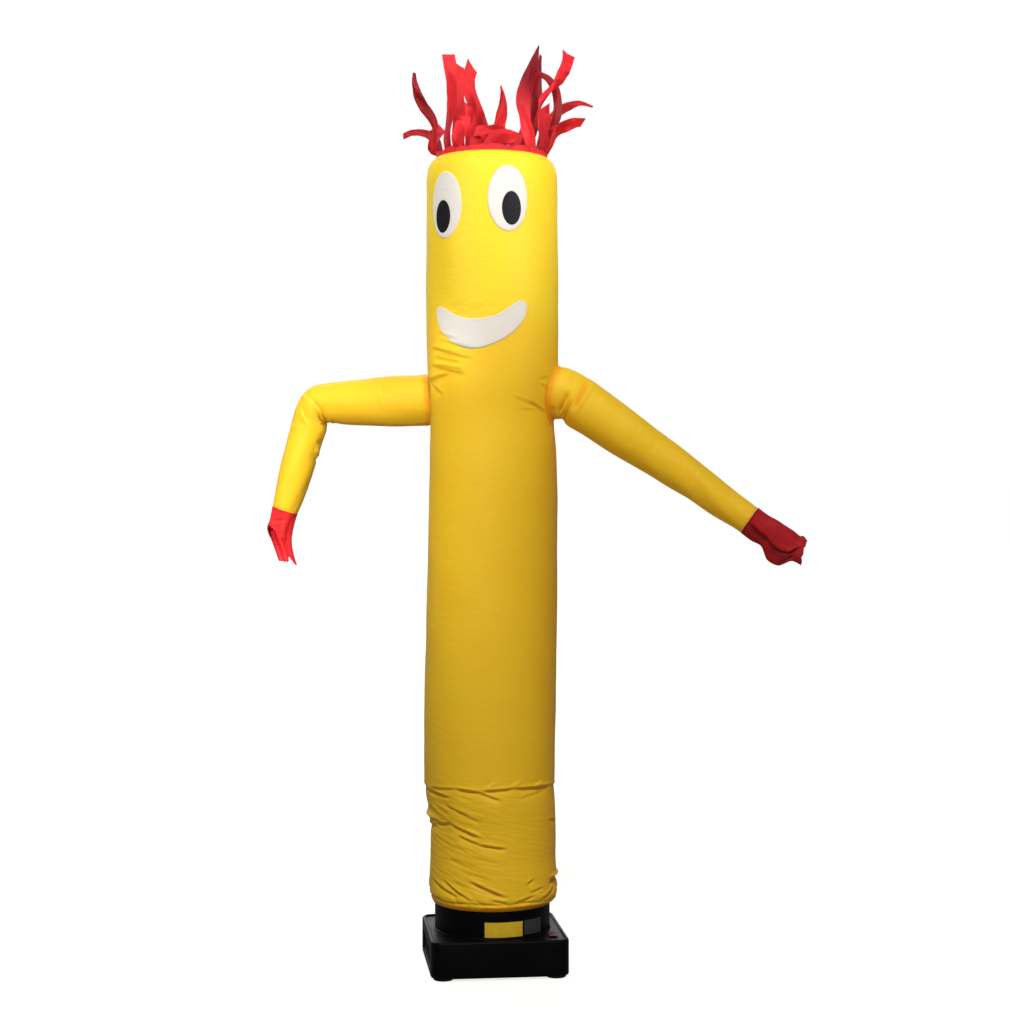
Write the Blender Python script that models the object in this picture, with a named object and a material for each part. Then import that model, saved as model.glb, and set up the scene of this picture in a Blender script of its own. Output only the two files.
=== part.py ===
"""Inflatable air dancer on its blower.

A waving figure of light coated nylon, blown up by a square floor blower. The hem of the body tube is
drawn in round the blower's collar. Two tapered sleeves make the arms, open red cuffs the hands, and
loose red strips the hair. Eyes and mouth are cut from cloth and sewn on.

Metres, +Z up, floor at Z = 0, the face towards -Y. Angles round the tube start at the front and
are positive towards +X.
"""

import math
from typing import NamedTuple

import bmesh
import bpy
import numpy as np

# ---- driving sizes -------------------------------------------------------------------------------
TUBE_AXIS = (-0.0925, 0.0100)  # puts the whole figure, arms out, midway over the origin
CLOTH = 0.002  # wall of the tube and the sleeves
THIN_CLOTH = 0.0015  # hair and hands
APPLIQUE = 0.001  # eyes, pupils and mouth
SEAT = 0.0008  # clearance between a piece and the curved cloth that carries it
TUBE_COLUMNS = 32
SLEEVE_COLUMNS = 20
HAND_COLUMNS = 14
HAND_STEPS = 6

ARM_BENT_DEG = -105.0
ARM_STRAIGHT_DEG = 82.0
ARM_PORT_RADIUS = 0.042
ARM_PORT_HEIGHT = 1.366

CROWN_COLUMNS = 24
CROWN_DOME = ((1.0, 1.928), (0.85, 1.934), (0.5, 1.942))  # share of the radius, height
CROWN_PEAK = 1.945

COLLAR_RADIUS = 0.1385
COLLAR_WALL = 0.004
COLLAR_TOP = 0.201
COLLAR_SHIFT = 0.002  # the collar stands this far to +X of the tube's axis

BASE_SIDE = 0.325
BASE_CORNER = 0.028
BASE_YAW_DEG = 6.6
BASE_SHIFT = (0.0055, -0.0140)
BASE_UNDERSIDE = 0.006
BASE_RIM = 0.091
BASE_DECK = 0.087
RIM_WIDTH = 0.0080
EDGE_ROUND = 0.004
PART_GAP = 0.0003
PAD_RADIUS = 0.024

# The intake is in the side that faces -X; its sizes run along Y and up Z.
INTAKE_HALF_LENGTH = 0.105
INTAKE_LOW = 0.022
INTAKE_TOP = 0.066
INTAKE_DEPTH = 0.012
GRILLE_SET_BACK = 0.0035
GRILLE_THICK = 0.004
GRILLE_BORDER = 0.006
GRILLE_FIT = 0.0005
GRILLE_SLOTS = 12
SLOT_SHARE = 0.6  # of the pitch from slot to slot

PLATE_YELLOW = ((-7.0, 31.0), 0.092, 0.127)  # degrees round the collar, low and top edge
PLATE_GREY = ((33.0, 55.5), 0.094, 0.128)

# Positions on the base are from its middle, in its own turned frame.
SWITCH_AT = (0.129, -0.102)
SWITCH_REST_DEG = 7.0
BEZEL_HALF = (0.0100, 0.0140)
BEZEL_OPENING_HALF = (0.0070, 0.0110)
BEZEL_TOP = 0.0035
ROCKER_HALF_WIDTH = 0.0064
ROCKER_PIVOT = 0.0033  # above the deck
ROCKER_SIDE = (
    (-0.0100, -0.0010),
    (0.0000, -0.0027),
    (0.0100, -0.0010),
    (0.0100, 0.0024),
    (0.0000, 0.0010),
    (-0.0100, 0.0024),
)


class Section(NamedTuple):
    """How far the body tube reaches to each side of its axis at one height."""

    height: float
    left: float
    right: float


TRUNK = (
    Section(0.153, 0.1400, 0.1440),
    Section(0.165, 0.1440, 0.1550),
    Section(0.182, 0.1490, 0.1590),
    Section(0.215, 0.1490, 0.1450),
    Section(0.232, 0.1485, 0.1545),
    Section(0.271, 0.1470, 0.1550),
    Section(0.333, 0.1430, 0.1550),
    Section(0.362, 0.1580, 0.1545),
    Section(0.386, 0.1540, 0.1520),
    Section(0.422, 0.1590, 0.1480),
    Section(0.446, 0.1630, 0.1520),
    Section(0.606, 0.1620, 0.1550),
    Section(0.906, 0.1560, 0.1585),
    Section(1.106, 0.1515, 0.1595),
    Section(1.236, 0.1490, 0.1560),
    Section(1.306, 0.1475, 0.1500),
    Section(1.426, 0.1540, 0.1605),
    Section(1.526, 0.1575, 0.1620),
    Section(1.726, 0.1575, 0.1600),
    Section(1.886, 0.1570, 0.1585),
    Section(1.914, 0.1535, 0.1545),
    Section(1.930, 0.1460, 0.1465),
    Section(1.939, 0.1360, 0.1360),
)

SKIRT_HEIGHTS = (0.153, 0.163, 0.178, 0.196, 0.215, 0.234, 0.256, 0.281)
KNEE_HEIGHTS = (0.306, 0.326, 0.344, 0.360, 0.376, 0.392, 0.407, 0.422, 0.438, 0.456)
CHEST_HEIGHTS = (0.536, 0.686, 0.846, 1.006, 1.156, 1.256, 1.306, 1.346, 1.386, 1.426)
HEAD_HEIGHTS = (1.476, 1.606, 1.746, 1.866, 1.912, 1.930, 1.939)


class Crease(NamedTuple):
    """A soft trough pressed into the tube, from one place on the cloth to another."""

    from_deg: float
    from_height: float
    to_deg: float
    to_height: float
    depth: float
    width: float


CREASES = (
    Crease(-66, 0.424, -25, 0.437, 0.006, 0.014),  # the sag line, front left
    Crease(-25, 0.437, 8, 0.409, 0.006, 0.013),
    Crease(-5, 0.444, 70, 0.427, 0.006, 0.014),  # the sag line, front right
    Crease(115, 0.424, 180, 0.431, 0.006, 0.016),  # and on round the back
    Crease(-180, 0.431, -120, 0.424, 0.006, 0.016),
    Crease(-70, 0.338, -37, 0.354, 0.006, 0.013),
    Crease(-37, 0.354, -10, 0.328, 0.006, 0.012),
    Crease(-32, 0.326, 20, 0.294, 0.005, 0.012),
    Crease(-70, 0.196, -42, 0.173, 0.004, 0.010),
    Crease(-20, 0.222, 14, 0.184, 0.004, 0.010),
    Crease(50, 0.194, 75, 0.196, 0.004, 0.010),
    Crease(120, 0.246, 150, 0.221, 0.003, 0.012),
    Crease(-160, 0.231, -125, 0.211, 0.003, 0.012),
)


class ArmSection(NamedTuple):
    """A round section of an arm: where it is in the arm's own upright plane, its lean and its size."""

    out: float  # distance of the middle from the tube's axis
    height: float
    lean_deg: float  # 0 stands upright, 90 lies flat with its first edge outwards
    radius: float
    depth: float  # half thickness across the plane


ARM_BENT = (
    ArmSection(0.160, 1.362, 0, 0.0640, 0.0620),
    ArmSection(0.180, 1.361, 0, 0.0625, 0.0610),
    ArmSection(0.241, 1.360, 0, 0.0620, 0.0600),
    ArmSection(0.317, 1.3585, 1, 0.0580, 0.0570),
    ArmSection(0.385, 1.3575, 4, 0.0525, 0.0520),
    ArmSection(0.434, 1.3570, 15, 0.0485, 0.0490),
    ArmSection(0.450, 1.3490, 31, 0.0475, 0.0490),
    ArmSection(0.461, 1.3300, 50, 0.0455, 0.0460),
    ArmSection(0.468, 1.3030, 67, 0.0445, 0.0440),
    ArmSection(0.480, 1.2670, 73, 0.0430, 0.0430),
    ArmSection(0.490, 1.2360, 73, 0.0415, 0.0420),
    ArmSection(0.502, 1.1950, 73, 0.0410, 0.0410),
    ArmSection(0.518, 1.1420, 72, 0.0375, 0.0375),
    ArmSection(0.5325, 1.0945, 71, 0.0320, 0.0320),
)

ARM_STRAIGHT = (
    ArmSection(0.160, 1.376, 3, 0.0670, 0.0640),
    ArmSection(0.181, 1.373, 10, 0.0610, 0.0600),
    ArmSection(0.201, 1.362, 24, 0.0585, 0.0590),
    ArmSection(0.224, 1.344, 37, 0.0610, 0.0600),
    ArmSection(0.267, 1.315, 34, 0.0590, 0.0590),
    ArmSection(0.325, 1.274, 33, 0.0555, 0.0560),
    ArmSection(0.378, 1.238, 33, 0.0515, 0.0520),
    ArmSection(0.449, 1.190, 33, 0.0470, 0.0470),
    ArmSection(0.508, 1.148, 33, 0.0425, 0.0430),
    ArmSection(0.561, 1.109, 33, 0.0385, 0.0385),
    ArmSection(0.6175, 1.0705, 35, 0.0355, 0.0350),
)

HAND_BENT = (
    ArmSection(0.5326, 1.0941, 71, 0.0320, 0.0315),
    ArmSection(0.5410, 1.0650, 78, 0.0305, 0.0270),
    ArmSection(0.5490, 1.0350, 67, 0.0330, 0.0230),
    ArmSection(0.5400, 1.0020, 72, 0.0255, 0.0170),
    ArmSection(0.5250, 0.9590, 76, 0.0225, 0.0120),
)

HAND_STRAIGHT = (
    ArmSection(0.6178, 1.0702, 35, 0.0355, 0.0350),
    ArmSection(0.6430, 1.0510, 34, 0.0360, 0.0310),
    ArmSection(0.6670, 1.0375, 40, 0.0360, 0.0270),
    ArmSection(0.6900, 1.0100, 40, 0.0450, 0.0230),
    ArmSection(0.7120, 0.9970, 36, 0.0400, 0.0200),
    ArmSection(0.7290, 1.0020, 24, 0.0300, 0.0170),
    ArmSection(0.7475, 0.9905, 12, 0.0285, 0.0150),
)


class Strip(NamedTuple):
    """A hair strip: its place on the ring, its size, and how it leans on the way up."""

    root_deg: float
    length: float
    width: float
    tip_width: float
    lean_root: float  # degrees from upright towards +X
    lean_low: float
    lean_high: float
    lean_tip: float
    lean_back: float  # degrees from upright towards +Y
    twist: float  # degrees from root to tip


HAIR = (
    Strip(-170, 0.262, 0.031, 0.034, 18, -6, -23, 15, 7, -10),
    Strip(-156, 0.160, 0.034, 0.034, -2, 0, -6, -12, 9, -24),
    Strip(-138, 0.242, 0.032, 0.022, 2, 2, 2, 4, 4, -30),
    Strip(-120, 0.151, 0.030, 0.014, -6, -22, -78, -114, 8, -50),
    Strip(-104, 0.070, 0.034, 0.024, -20, -18, -12, -5, 2, 50),
    Strip(-88, 0.210, 0.038, 0.008, 4, -6, -38, 0, -1, 60),
    Strip(-72, 0.056, 0.032, 0.028, 4, 6, 10, 12, -4, 30),
    Strip(-50, 0.228, 0.032, 0.031, -6, 12, -6, -9, 3, 45),
    Strip(-34, 0.070, 0.034, 0.030, 4, 8, 10, 12, -8, 20),
    Strip(-18, 0.125, 0.028, 0.020, 8, 58, 96, 104, 16, 20),
    Strip(-1, 0.075, 0.034, 0.028, 10, 58, 100, 118, -16, 0),
    Strip(20, 0.095, 0.034, 0.026, -10, -56, -80, -92, -2, -20),
    Strip(46, 0.250, 0.042, 0.003, 0, -13, 15, 17, 2, -44),
    Strip(66, 0.105, 0.032, 0.024, 0, 2, 4, 6, -4, -50),
    Strip(80, 0.130, 0.034, 0.022, 16, 22, 66, 92, -3, -60),
    Strip(94, 0.264, 0.030, 0.034, 0, -9, 38, 10, 0, -75),
    Strip(107, 0.085, 0.030, 0.028, 20, 20, 24, 14, 3, 60),
    Strip(120, 0.245, 0.028, 0.012, 22, 20, 4, -62, 3, 60),
    Strip(133, 0.240, 0.034, 0.004, 34, 18, 50, 106, 6, 40),
    Strip(146, 0.280, 0.030, 0.006, 14, 16, 4, 8, 6, 34),
    Strip(160, 0.200, 0.032, 0.028, 20, 24, 20, 6, 6, 20),
    Strip(175, 0.200, 0.031, 0.003, 2, 4, 10, -10, 2, 6),
)
HAIR_RADIUS = 0.1325
HAIR_BAND_LOW = 1.921
HAIR_BAND_TOP = 1.952
HAIR_BAND_COLUMNS = 24
HAIR_STEPS = 8


class Oval(NamedTuple):
    """An oval of cloth on the head: its middle and half sizes, and how far it stands off the tube."""

    middle_deg: float
    middle_height: float
    half_deg: float
    half_height: float
    stand_off: float


EYE_OFF = SEAT
PUPIL_OFF = EYE_OFF + APPLIQUE + SEAT
FACE = {
    "eye_left": Oval(-43.3, 1.813, 17.3, 0.0785, EYE_OFF),
    "eye_right": Oval(14.2, 1.823, 17.4, 0.0773, EYE_OFF),
    "pupil_left": Oval(-45.6, 1.786, 8.5, 0.0387, PUPIL_OFF),
    "pupil_right": Oval(17.0, 1.800, 8.3, 0.0398, PUPIL_OFF),
}
OVAL_SPOKES = 20
OVAL_SHARES = (1.0, 0.55)


class Smile(NamedTuple):
    """Lower and upper edge of the mouth at one place round the tube."""

    deg: float
    low: float
    top: float


MOUTH = (
    Smile(-54.5, 1.5590, 1.5650),
    Smile(-53.0, 1.5440, 1.5725),
    Smile(-50.0, 1.5250, 1.5745),
    Smile(-46.0, 1.5120, 1.5715),
    Smile(-40.0, 1.4970, 1.5625),
    Smile(-34.0, 1.4850, 1.5535),
    Smile(-27.0, 1.4765, 1.5470),
    Smile(-17.0, 1.4715, 1.5415),
    Smile(-8.0, 1.4740, 1.5420),
    Smile(1.0, 1.4825, 1.5475),
    Smile(9.0, 1.4930, 1.5575),
    Smile(15.0, 1.5040, 1.5690),
    Smile(20.5, 1.5170, 1.5790),
    Smile(25.5, 1.5335, 1.5845),
    Smile(28.8, 1.5480, 1.5830),
    Smile(30.8, 1.5650, 1.5730),
)
MOUTH_COLUMNS = 18


# ---- materials -----------------------------------------------------------------------------------
class Finish(NamedTuple):
    color: tuple
    roughness: float
    metallic: float


FINISHES = {
    "yellow_nylon": Finish((0.90, 0.66, 0.05), 0.55, 0.0),
    "red_nylon": Finish((0.72, 0.03, 0.05), 0.55, 0.0),
    "white_nylon": Finish((0.90, 0.87, 0.84), 0.60, 0.0),
    "black_nylon": Finish((0.02, 0.02, 0.02), 0.60, 0.0),
    "black_plastic": Finish((0.012, 0.012, 0.014), 0.40, 0.0),
    "black_rubber": Finish((0.015, 0.015, 0.015), 0.80, 0.0),
    "red_plastic": Finish((0.55, 0.02, 0.02), 0.35, 0.0),
    "yellow_film": Finish((0.85, 0.66, 0.04), 0.40, 0.0),
    "grey_film": Finish((0.30, 0.31, 0.33), 0.40, 0.0),
}


def make_material(name):
    finish = FINISHES[name]
    material = bpy.data.materials.new(name)
    material.use_nodes = True
    shader = material.node_tree.nodes["Principled BSDF"]
    shader.inputs["Base Color"].default_value = (*finish.color, 1.0)
    shader.inputs["Roughness"].default_value = finish.roughness
    shader.inputs["Metallic"].default_value = finish.metallic
    material.diffuse_color = (*finish.color, 1.0)
    return material


def add_piece(name, mesh, material, parent):
    piece = bpy.data.objects.new(name, mesh)
    mesh.materials.append(material)
    bpy.context.scene.collection.objects.link(piece)
    piece.parent = parent
    return piece


# ---- shapes --------------------------------------------------------------------------------------
def eased(places, values, at):
    """The smooth curve through a table's values, with no overshoot between its rows."""
    places = np.asarray(places, float)
    values = np.asarray(values, float)
    at = np.asarray(at, float)
    span = np.diff(places)
    slope = np.diff(values) / span
    tangent = np.concatenate([slope[:1], np.zeros(len(slope) - 1), slope[-1:]])
    for row in range(1, len(slope)):
        before, after = slope[row - 1], slope[row]
        if before * after > 0:
            tangent[row] = 2 * before * after / (before + after)
    row = np.clip(np.searchsorted(places, at, side="right") - 1, 0, len(span) - 1)
    part = np.clip((at - places[row]) / span[row], 0, 1)
    rise = values[row + 1] - values[row]
    bend = part * (1 - part)
    ends = (1 - part) * tangent[row] - part * tangent[row + 1]
    return values[row] + rise * part * part * (3 - 2 * part) + span[row] * bend * ends


def round_turns(columns):
    return [2 * math.pi * column / columns for column in range(columns)]


def finished_mesh(name, mesh, sharp_deg=50):
    """Turns a closed bmesh into mesh data with outward faces; sharp_deg None leaves it flat."""
    bmesh.ops.recalc_face_normals(mesh, faces=mesh.faces)
    made = bpy.data.meshes.new(name)
    mesh.to_mesh(made)
    mesh.free()
    if sharp_deg is not None:
        made.shade_smooth()
        made.set_sharp_from_angle(angle=math.radians(sharp_deg))
    return made


def join_rims(mesh, first, second):
    """Faces between two rings of as many points."""
    for index in range(len(first)):
        beside = (index + 1) % len(first)
        mesh.faces.new([first[index], first[beside], second[beside], second[index]])


def close_disc(mesh, rings, middle):
    """Fills a disc from its outer ring in to the point in the middle."""
    for outside, inside in zip(rings, rings[1:]):
        join_rims(mesh, outside, inside)
    last = rings[-1]
    for index in range(len(last)):
        mesh.faces.new([last[index], last[(index + 1) % len(last)], middle])


def skin_mesh(name, outer, inner, closed_round=True, is_open=None, sharp_deg=50):
    """A wall between two grids of points of the same layout.

    Cells that is_open names are left out of both sides, and every free edge is walled across, so that
    the ends and any holes come out closed. Both sides split each cell along the same diagonal, which
    keeps a thin twisted wall from crossing itself.
    """
    rows, columns = len(outer), len(outer[0])
    mesh = bmesh.new()
    sides = [
        [[mesh.verts.new(point) for point in row] for row in grid] for grid in (outer, inner)
    ]
    edges = set()
    for row in range(rows - 1):
        for column in range(columns if closed_round else columns - 1):
            if is_open and is_open(row, column):
                continue
            beside = (column + 1) % columns
            corners = [(row, column), (row, beside), (row + 1, beside), (row + 1, column)]
            for second, third in ((1, 2), (2, 3)):
                half = [corners[0], corners[second], corners[third]]
                mesh.faces.new([sides[0][r][c] for r, c in half])
                mesh.faces.new([sides[1][r][c] for r, c in reversed(half)])
            edges.update(zip(corners, corners[1:] + corners[:1]))
    for start, end in sorted(edges):
        if (end, start) in edges:
            continue
        loop = [(0, end), (0, start), (1, start), (1, end)]
        mesh.faces.new([sides[side][place[0]][place[1]] for side, place in loop])
    loose = [vert for vert in mesh.verts if not vert.link_faces]
    bmesh.ops.delete(mesh, geom=loose, context="VERTS")
    return finished_mesh(name, mesh, sharp_deg)


def stack_mesh(name, rings, sharp_deg=35):
    """A solid lofted through closed rings of points, capped flat at both ends."""
    mesh = bmesh.new()
    placed = [[mesh.verts.new(point) for point in ring] for ring in rings]
    for below, above in zip(placed, placed[1:]):
        join_rims(mesh, below, above)
    mesh.faces.new(placed[0][::-1])
    mesh.faces.new(placed[-1])
    return finished_mesh(name, mesh, sharp_deg)


# ---- body tube -----------------------------------------------------------------------------------
def crease_depth(degrees, height, radius):
    """How deep the creases press at one place on the cloth."""
    total = 0.0
    for crease in CREASES:
        start = np.array([math.radians(crease.from_deg) * radius, crease.from_height])
        along = np.array([math.radians(crease.to_deg) * radius, crease.to_height]) - start
        here = np.array([math.radians(degrees) * radius, height]) - start
        share = float(np.clip(here @ along / (along @ along), 0, 1))
        miss = float(np.linalg.norm(here - share * along)) / crease.width
        total = max(total, crease.depth * math.exp(-miss * miss))
    return total


def tube_section(height):
    """Middle and radius of the tube's round section at a height."""
    heights = [row.height for row in TRUNK]
    left = float(eased(heights, [row.left for row in TRUNK], height))
    right = float(eased(heights, [row.right for row in TRUNK], height))
    return (right - left) / 2, (right + left) / 2


def on_tube(degrees, height, outwards=0.0):
    """A point on the tube's outside, or a little way off it."""
    middle, radius = tube_section(height)
    reach = radius - crease_depth(degrees, height, radius) + outwards
    angle = math.radians(degrees)
    return (middle + reach * math.sin(angle), -reach * math.cos(angle), height)


def in_arm_port(degrees, height):
    for arm_deg in (ARM_BENT_DEG, ARM_STRAIGHT_DEG):
        round_way = math.radians(degrees - arm_deg) * 0.15
        if math.hypot(round_way, height - ARM_PORT_HEIGHT) < ARM_PORT_RADIUS:
            return True
    return False


def build_body_tube(cloth, root):
    heights = SKIRT_HEIGHTS + KNEE_HEIGHTS + CHEST_HEIGHTS + HEAD_HEIGHTS
    step = 360 / TUBE_COLUMNS
    degrees = [-180 + step * column for column in range(TUBE_COLUMNS)]
    outer = [[on_tube(d, h) for d in degrees] for h in heights]
    inner = [[on_tube(d, h, -CLOTH) for d in degrees] for h in heights]

    def is_open(row, column):
        middle_height = (heights[row] + heights[row + 1]) / 2
        return in_arm_port(degrees[column] + step / 2, middle_height)

    add_piece("body_tube", skin_mesh("body_tube", outer, inner, is_open=is_open), cloth, root)


def build_crown_panel(cloth, root):
    """A shallow dome of cloth that closes the top ring."""
    radius = HAIR_RADIUS - THIN_CLOTH / 2 - SEAT / 2
    mesh = bmesh.new()
    sides = []
    for drop in (0.0, CLOTH):
        rings = []
        for share, height in CROWN_DOME:
            ring = []
            for turn in round_turns(CROWN_COLUMNS):
                reach = radius * share
                point = (reach * math.sin(turn), -reach * math.cos(turn), height - drop)
                ring.append(mesh.verts.new(point))
            rings.append(ring)
        peak = mesh.verts.new((0, 0, CROWN_PEAK - drop))
        close_disc(mesh, rings, peak)
        sides.append(rings[0])
    join_rims(mesh, *sides)
    add_piece("crown_panel", finished_mesh("crown_panel", mesh), cloth, root)


# ---- arms and hands ------------------------------------------------------------------------------
def arm_axes(arm_deg):
    """The arm's outward direction and the direction across its plane."""
    angle = math.radians(arm_deg)
    outwards = np.array([math.sin(angle), -math.cos(angle), 0.0])
    across = np.array([math.cos(angle), math.sin(angle), 0.0])
    return outwards, across


def arm_point(sections, arm_deg, place, turn, wall=0.0):
    """A point round an arm; place counts table rows, turn 0 is the upper or outer edge."""
    rows = range(len(sections))
    out, height, lean, radius, depth = (
        float(eased(rows, [section[column] for section in sections], place)) for column in range(5)
    )
    outwards, across = arm_axes(arm_deg)
    lean = math.radians(lean)
    up = outwards * math.sin(lean) + np.array([0, 0, math.cos(lean)])
    middle = outwards * out + np.array([0, 0, height])
    return (
        middle
        + up * ((radius - wall) * math.cos(turn))
        + across * ((depth - wall) * math.sin(turn))
    )


def seat_on_tube(point, outwards):
    """Slides a point along the arm until it sits just off the body tube."""
    low, high = -0.12, 0.06
    for _ in range(30):
        middle = (low + high) / 2
        tried = point + outwards * middle
        centre, radius = tube_section(tried[2])
        if math.hypot(tried[0] - centre, tried[1]) < radius + SEAT:
            low = middle
        else:
            high = middle
    return point + outwards * high


def build_arm(name, sections, arm_deg, cloth, root):
    outwards, _ = arm_axes(arm_deg)
    sides = []
    for wall in (0.0, CLOTH):
        grid = [
            [arm_point(sections, arm_deg, place, t, wall) for t in round_turns(SLEEVE_COLUMNS)]
            for place in range(len(sections))
        ]
        grid[0] = [seat_on_tube(point, outwards) for point in grid[0]]
        sides.append(grid)
    add_piece(name, skin_mesh(name, *sides), cloth, root)


def build_hand(name, sections, arm_deg, cut, cloth, root):
    """An open cuff whose free edge is cut back by a share that varies round it."""
    sides = []
    for wall in (0.0, THIN_CLOTH):
        grid = []
        for step in range(HAND_STEPS + 1):
            row = []
            for turn in round_turns(HAND_COLUMNS):
                place = step / HAND_STEPS * cut(turn) * (len(sections) - 1)
                row.append(arm_point(sections, arm_deg, place, turn, wall))
            grid.append(row)
        sides.append(grid)
    add_piece(name, skin_mesh(name, *sides), cloth, root)


def bent_hand_cut(turn):
    """The front panel ends on a slant near the wrist, the back one hangs on to the full length."""
    front = max(0.0, math.sin(turn))
    slant = 0.46 - 0.12 * math.cos(turn)
    return 1 - (1 - slant) * min(1.0, 1.6 * front)


def straight_hand_cut(turn):
    """The free edge dips a little halfway down the front and the back."""
    return 1 - 0.02 * math.sin(turn) ** 2


# ---- hair ----------------------------------------------------------------------------------------
def strip_frames(strip):
    """Middle, width direction and face direction at each step up a strip."""
    angle = math.radians(strip.root_deg)
    place = np.array(
        [
            HAIR_RADIUS * math.sin(angle),
            -HAIR_RADIUS * math.cos(angle),
            HAIR_BAND_TOP + PART_GAP,
        ]
    )
    leans = (strip.lean_root, strip.lean_low, strip.lean_high, strip.lean_tip)
    back = math.radians(strip.lean_back)
    frames = []
    for step in range(HAIR_STEPS + 1):
        share = step / HAIR_STEPS
        lean = math.radians(float(eased(range(4), leans, 3 * share)))
        along = np.array([math.sin(lean), math.sin(back), math.cos(lean)])
        along /= np.linalg.norm(along)
        if step:
            place = place + along * strip.length / HAIR_STEPS
        else:
            along = np.array([0.0, 0.0, 1.0])
        turned = angle + math.radians(strip.twist) * share
        flat = np.array([math.cos(lean), 0.0, -math.sin(lean)]) if step else np.array([1.0, 0, 0])
        edge_on = np.cross(along, flat)
        across = flat * math.cos(turned) + edge_on * math.sin(turned)
        frames.append((place, across, np.cross(across, along)))
    return frames


def strip_widths(strip):
    full = strip.width
    shares = [0, 0.15, 0.6, 1.0]
    widths = [full * 0.9, full, full * 0.9 + strip.tip_width * 0.1, strip.tip_width]
    return [float(eased(shares, widths, step / HAIR_STEPS)) for step in range(HAIR_STEPS + 1)]


def build_hair(cloth, root):
    for number, strip in enumerate(HAIR, start=1):
        sides = []
        for off in (THIN_CLOTH / 2, -THIN_CLOTH / 2):
            grid = []
            for (place, across, face), width in zip(strip_frames(strip), strip_widths(strip)):
                middle = place + face * off
                grid.append([middle - across * width / 2, middle + across * width / 2])
            sides.append(grid)
        name = f"hair_{number:02d}"
        mesh = skin_mesh(name, *sides, closed_round=False, sharp_deg=35)
        add_piece(name, mesh, cloth, root)


def build_hair_band(cloth, root):
    """The uncut edge of the red strips, sewn round the inside of the top ring."""
    turns = round_turns(HAIR_BAND_COLUMNS)
    sides = []
    for radius in (HAIR_RADIUS + THIN_CLOTH / 2, HAIR_RADIUS - THIN_CLOTH / 2):
        grid = []
        for height in (HAIR_BAND_LOW, HAIR_BAND_TOP):
            grid.append([(radius * math.sin(t), -radius * math.cos(t), height) for t in turns])
        sides.append(grid)
    add_piece("hair_band", skin_mesh("hair_band", *sides), cloth, root)


# ---- face ----------------------------------------------------------------------------------------
def build_oval(name, oval, cloth, root):
    mesh = bmesh.new()
    sides = []
    for off in (oval.stand_off + APPLIQUE, oval.stand_off):
        rings = []
        for share in OVAL_SHARES:
            ring = []
            for turn in round_turns(OVAL_SPOKES):
                degrees = oval.middle_deg + oval.half_deg * share * math.sin(turn)
                height = oval.middle_height + oval.half_height * share * math.cos(turn)
                ring.append(mesh.verts.new(on_tube(degrees, height, off)))
            rings.append(ring)
        middle = mesh.verts.new(on_tube(oval.middle_deg, oval.middle_height, off))
        close_disc(mesh, rings, middle)
        sides.append(rings[0])
    join_rims(mesh, *sides)
    add_piece(name, finished_mesh(name, mesh), cloth, root)


def build_mouth(cloth, root):
    places = [row.deg for row in MOUTH]
    # The columns stand closer towards the round tips.
    shares = (1 - np.cos(np.linspace(0, math.pi, MOUTH_COLUMNS + 1))) / 2
    columns = places[0] + (places[-1] - places[0]) * shares
    lower = eased(places, [row.low for row in MOUTH], columns)
    upper = eased(places, [row.top for row in MOUTH], columns)
    sides = []
    for off in (SEAT + APPLIQUE, SEAT):
        grid = []
        for level in (0.0, 0.5, 1.0):
            heights = lower + (upper - lower) * level
            grid.append([on_tube(deg, height, off) for deg, height in zip(columns, heights)])
        sides.append(grid)
    add_piece("mouth", skin_mesh("mouth", *sides, closed_round=False), cloth, root)


# ---- blower --------------------------------------------------------------------------------------
def rounded_square(side, corner, height, steps=5):
    half = side / 2 - corner
    ring = []
    for quarter, (x, y) in enumerate(((1, 1), (-1, 1), (-1, -1), (1, -1))):
        for step in range(steps):
            turn = math.radians(90 * quarter + 90 * step / (steps - 1))
            reach = (corner * math.cos(turn), corner * math.sin(turn))
            ring.append((x * half + reach[0], y * half + reach[1], height))
    return ring


def build_foot(plastic, base):
    """The low square box with a raised rim, hollowed on one side for the intake."""
    rows = [
        (EDGE_ROUND, BASE_UNDERSIDE),
        (0.0, BASE_UNDERSIDE + EDGE_ROUND),
        (0.0, BASE_RIM - 2 * EDGE_ROUND),
        (EDGE_ROUND / 2, BASE_RIM - EDGE_ROUND / 2),
        (RIM_WIDTH - EDGE_ROUND / 2, BASE_RIM),
        (RIM_WIDTH - EDGE_ROUND / 4, BASE_RIM - EDGE_ROUND / 4),
        (RIM_WIDTH, BASE_DECK),
    ]
    rings = [
        rounded_square(BASE_SIDE - 2 * inset, max(BASE_CORNER - inset, EDGE_ROUND), height)
        for inset, height in rows
    ]
    foot = add_piece("blower_foot", stack_mesh("blower_foot", rings), plastic, base)
    face = -BASE_SIDE / 2
    pocket_rings = []
    for x in (face + INTAKE_DEPTH, face - INTAKE_DEPTH):
        low = [(x, -INTAKE_HALF_LENGTH, INTAKE_LOW), (x, INTAKE_HALF_LENGTH, INTAKE_LOW)]
        top = [(x, INTAKE_HALF_LENGTH, INTAKE_TOP), (x, -INTAKE_HALF_LENGTH, INTAKE_TOP)]
        pocket_rings.append(low + top)
    pocket_mesh = stack_mesh("intake_pocket", pocket_rings, sharp_deg=None)
    pocket = add_piece("intake_pocket", pocket_mesh, plastic, base)
    pocket.hide_render = True
    pocket.display_type = "WIRE"
    cut = foot.modifiers.new("intake pocket", "BOOLEAN")
    cut.operation = "DIFFERENCE"
    cut.solver = "EXACT"
    cut.object = pocket


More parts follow.
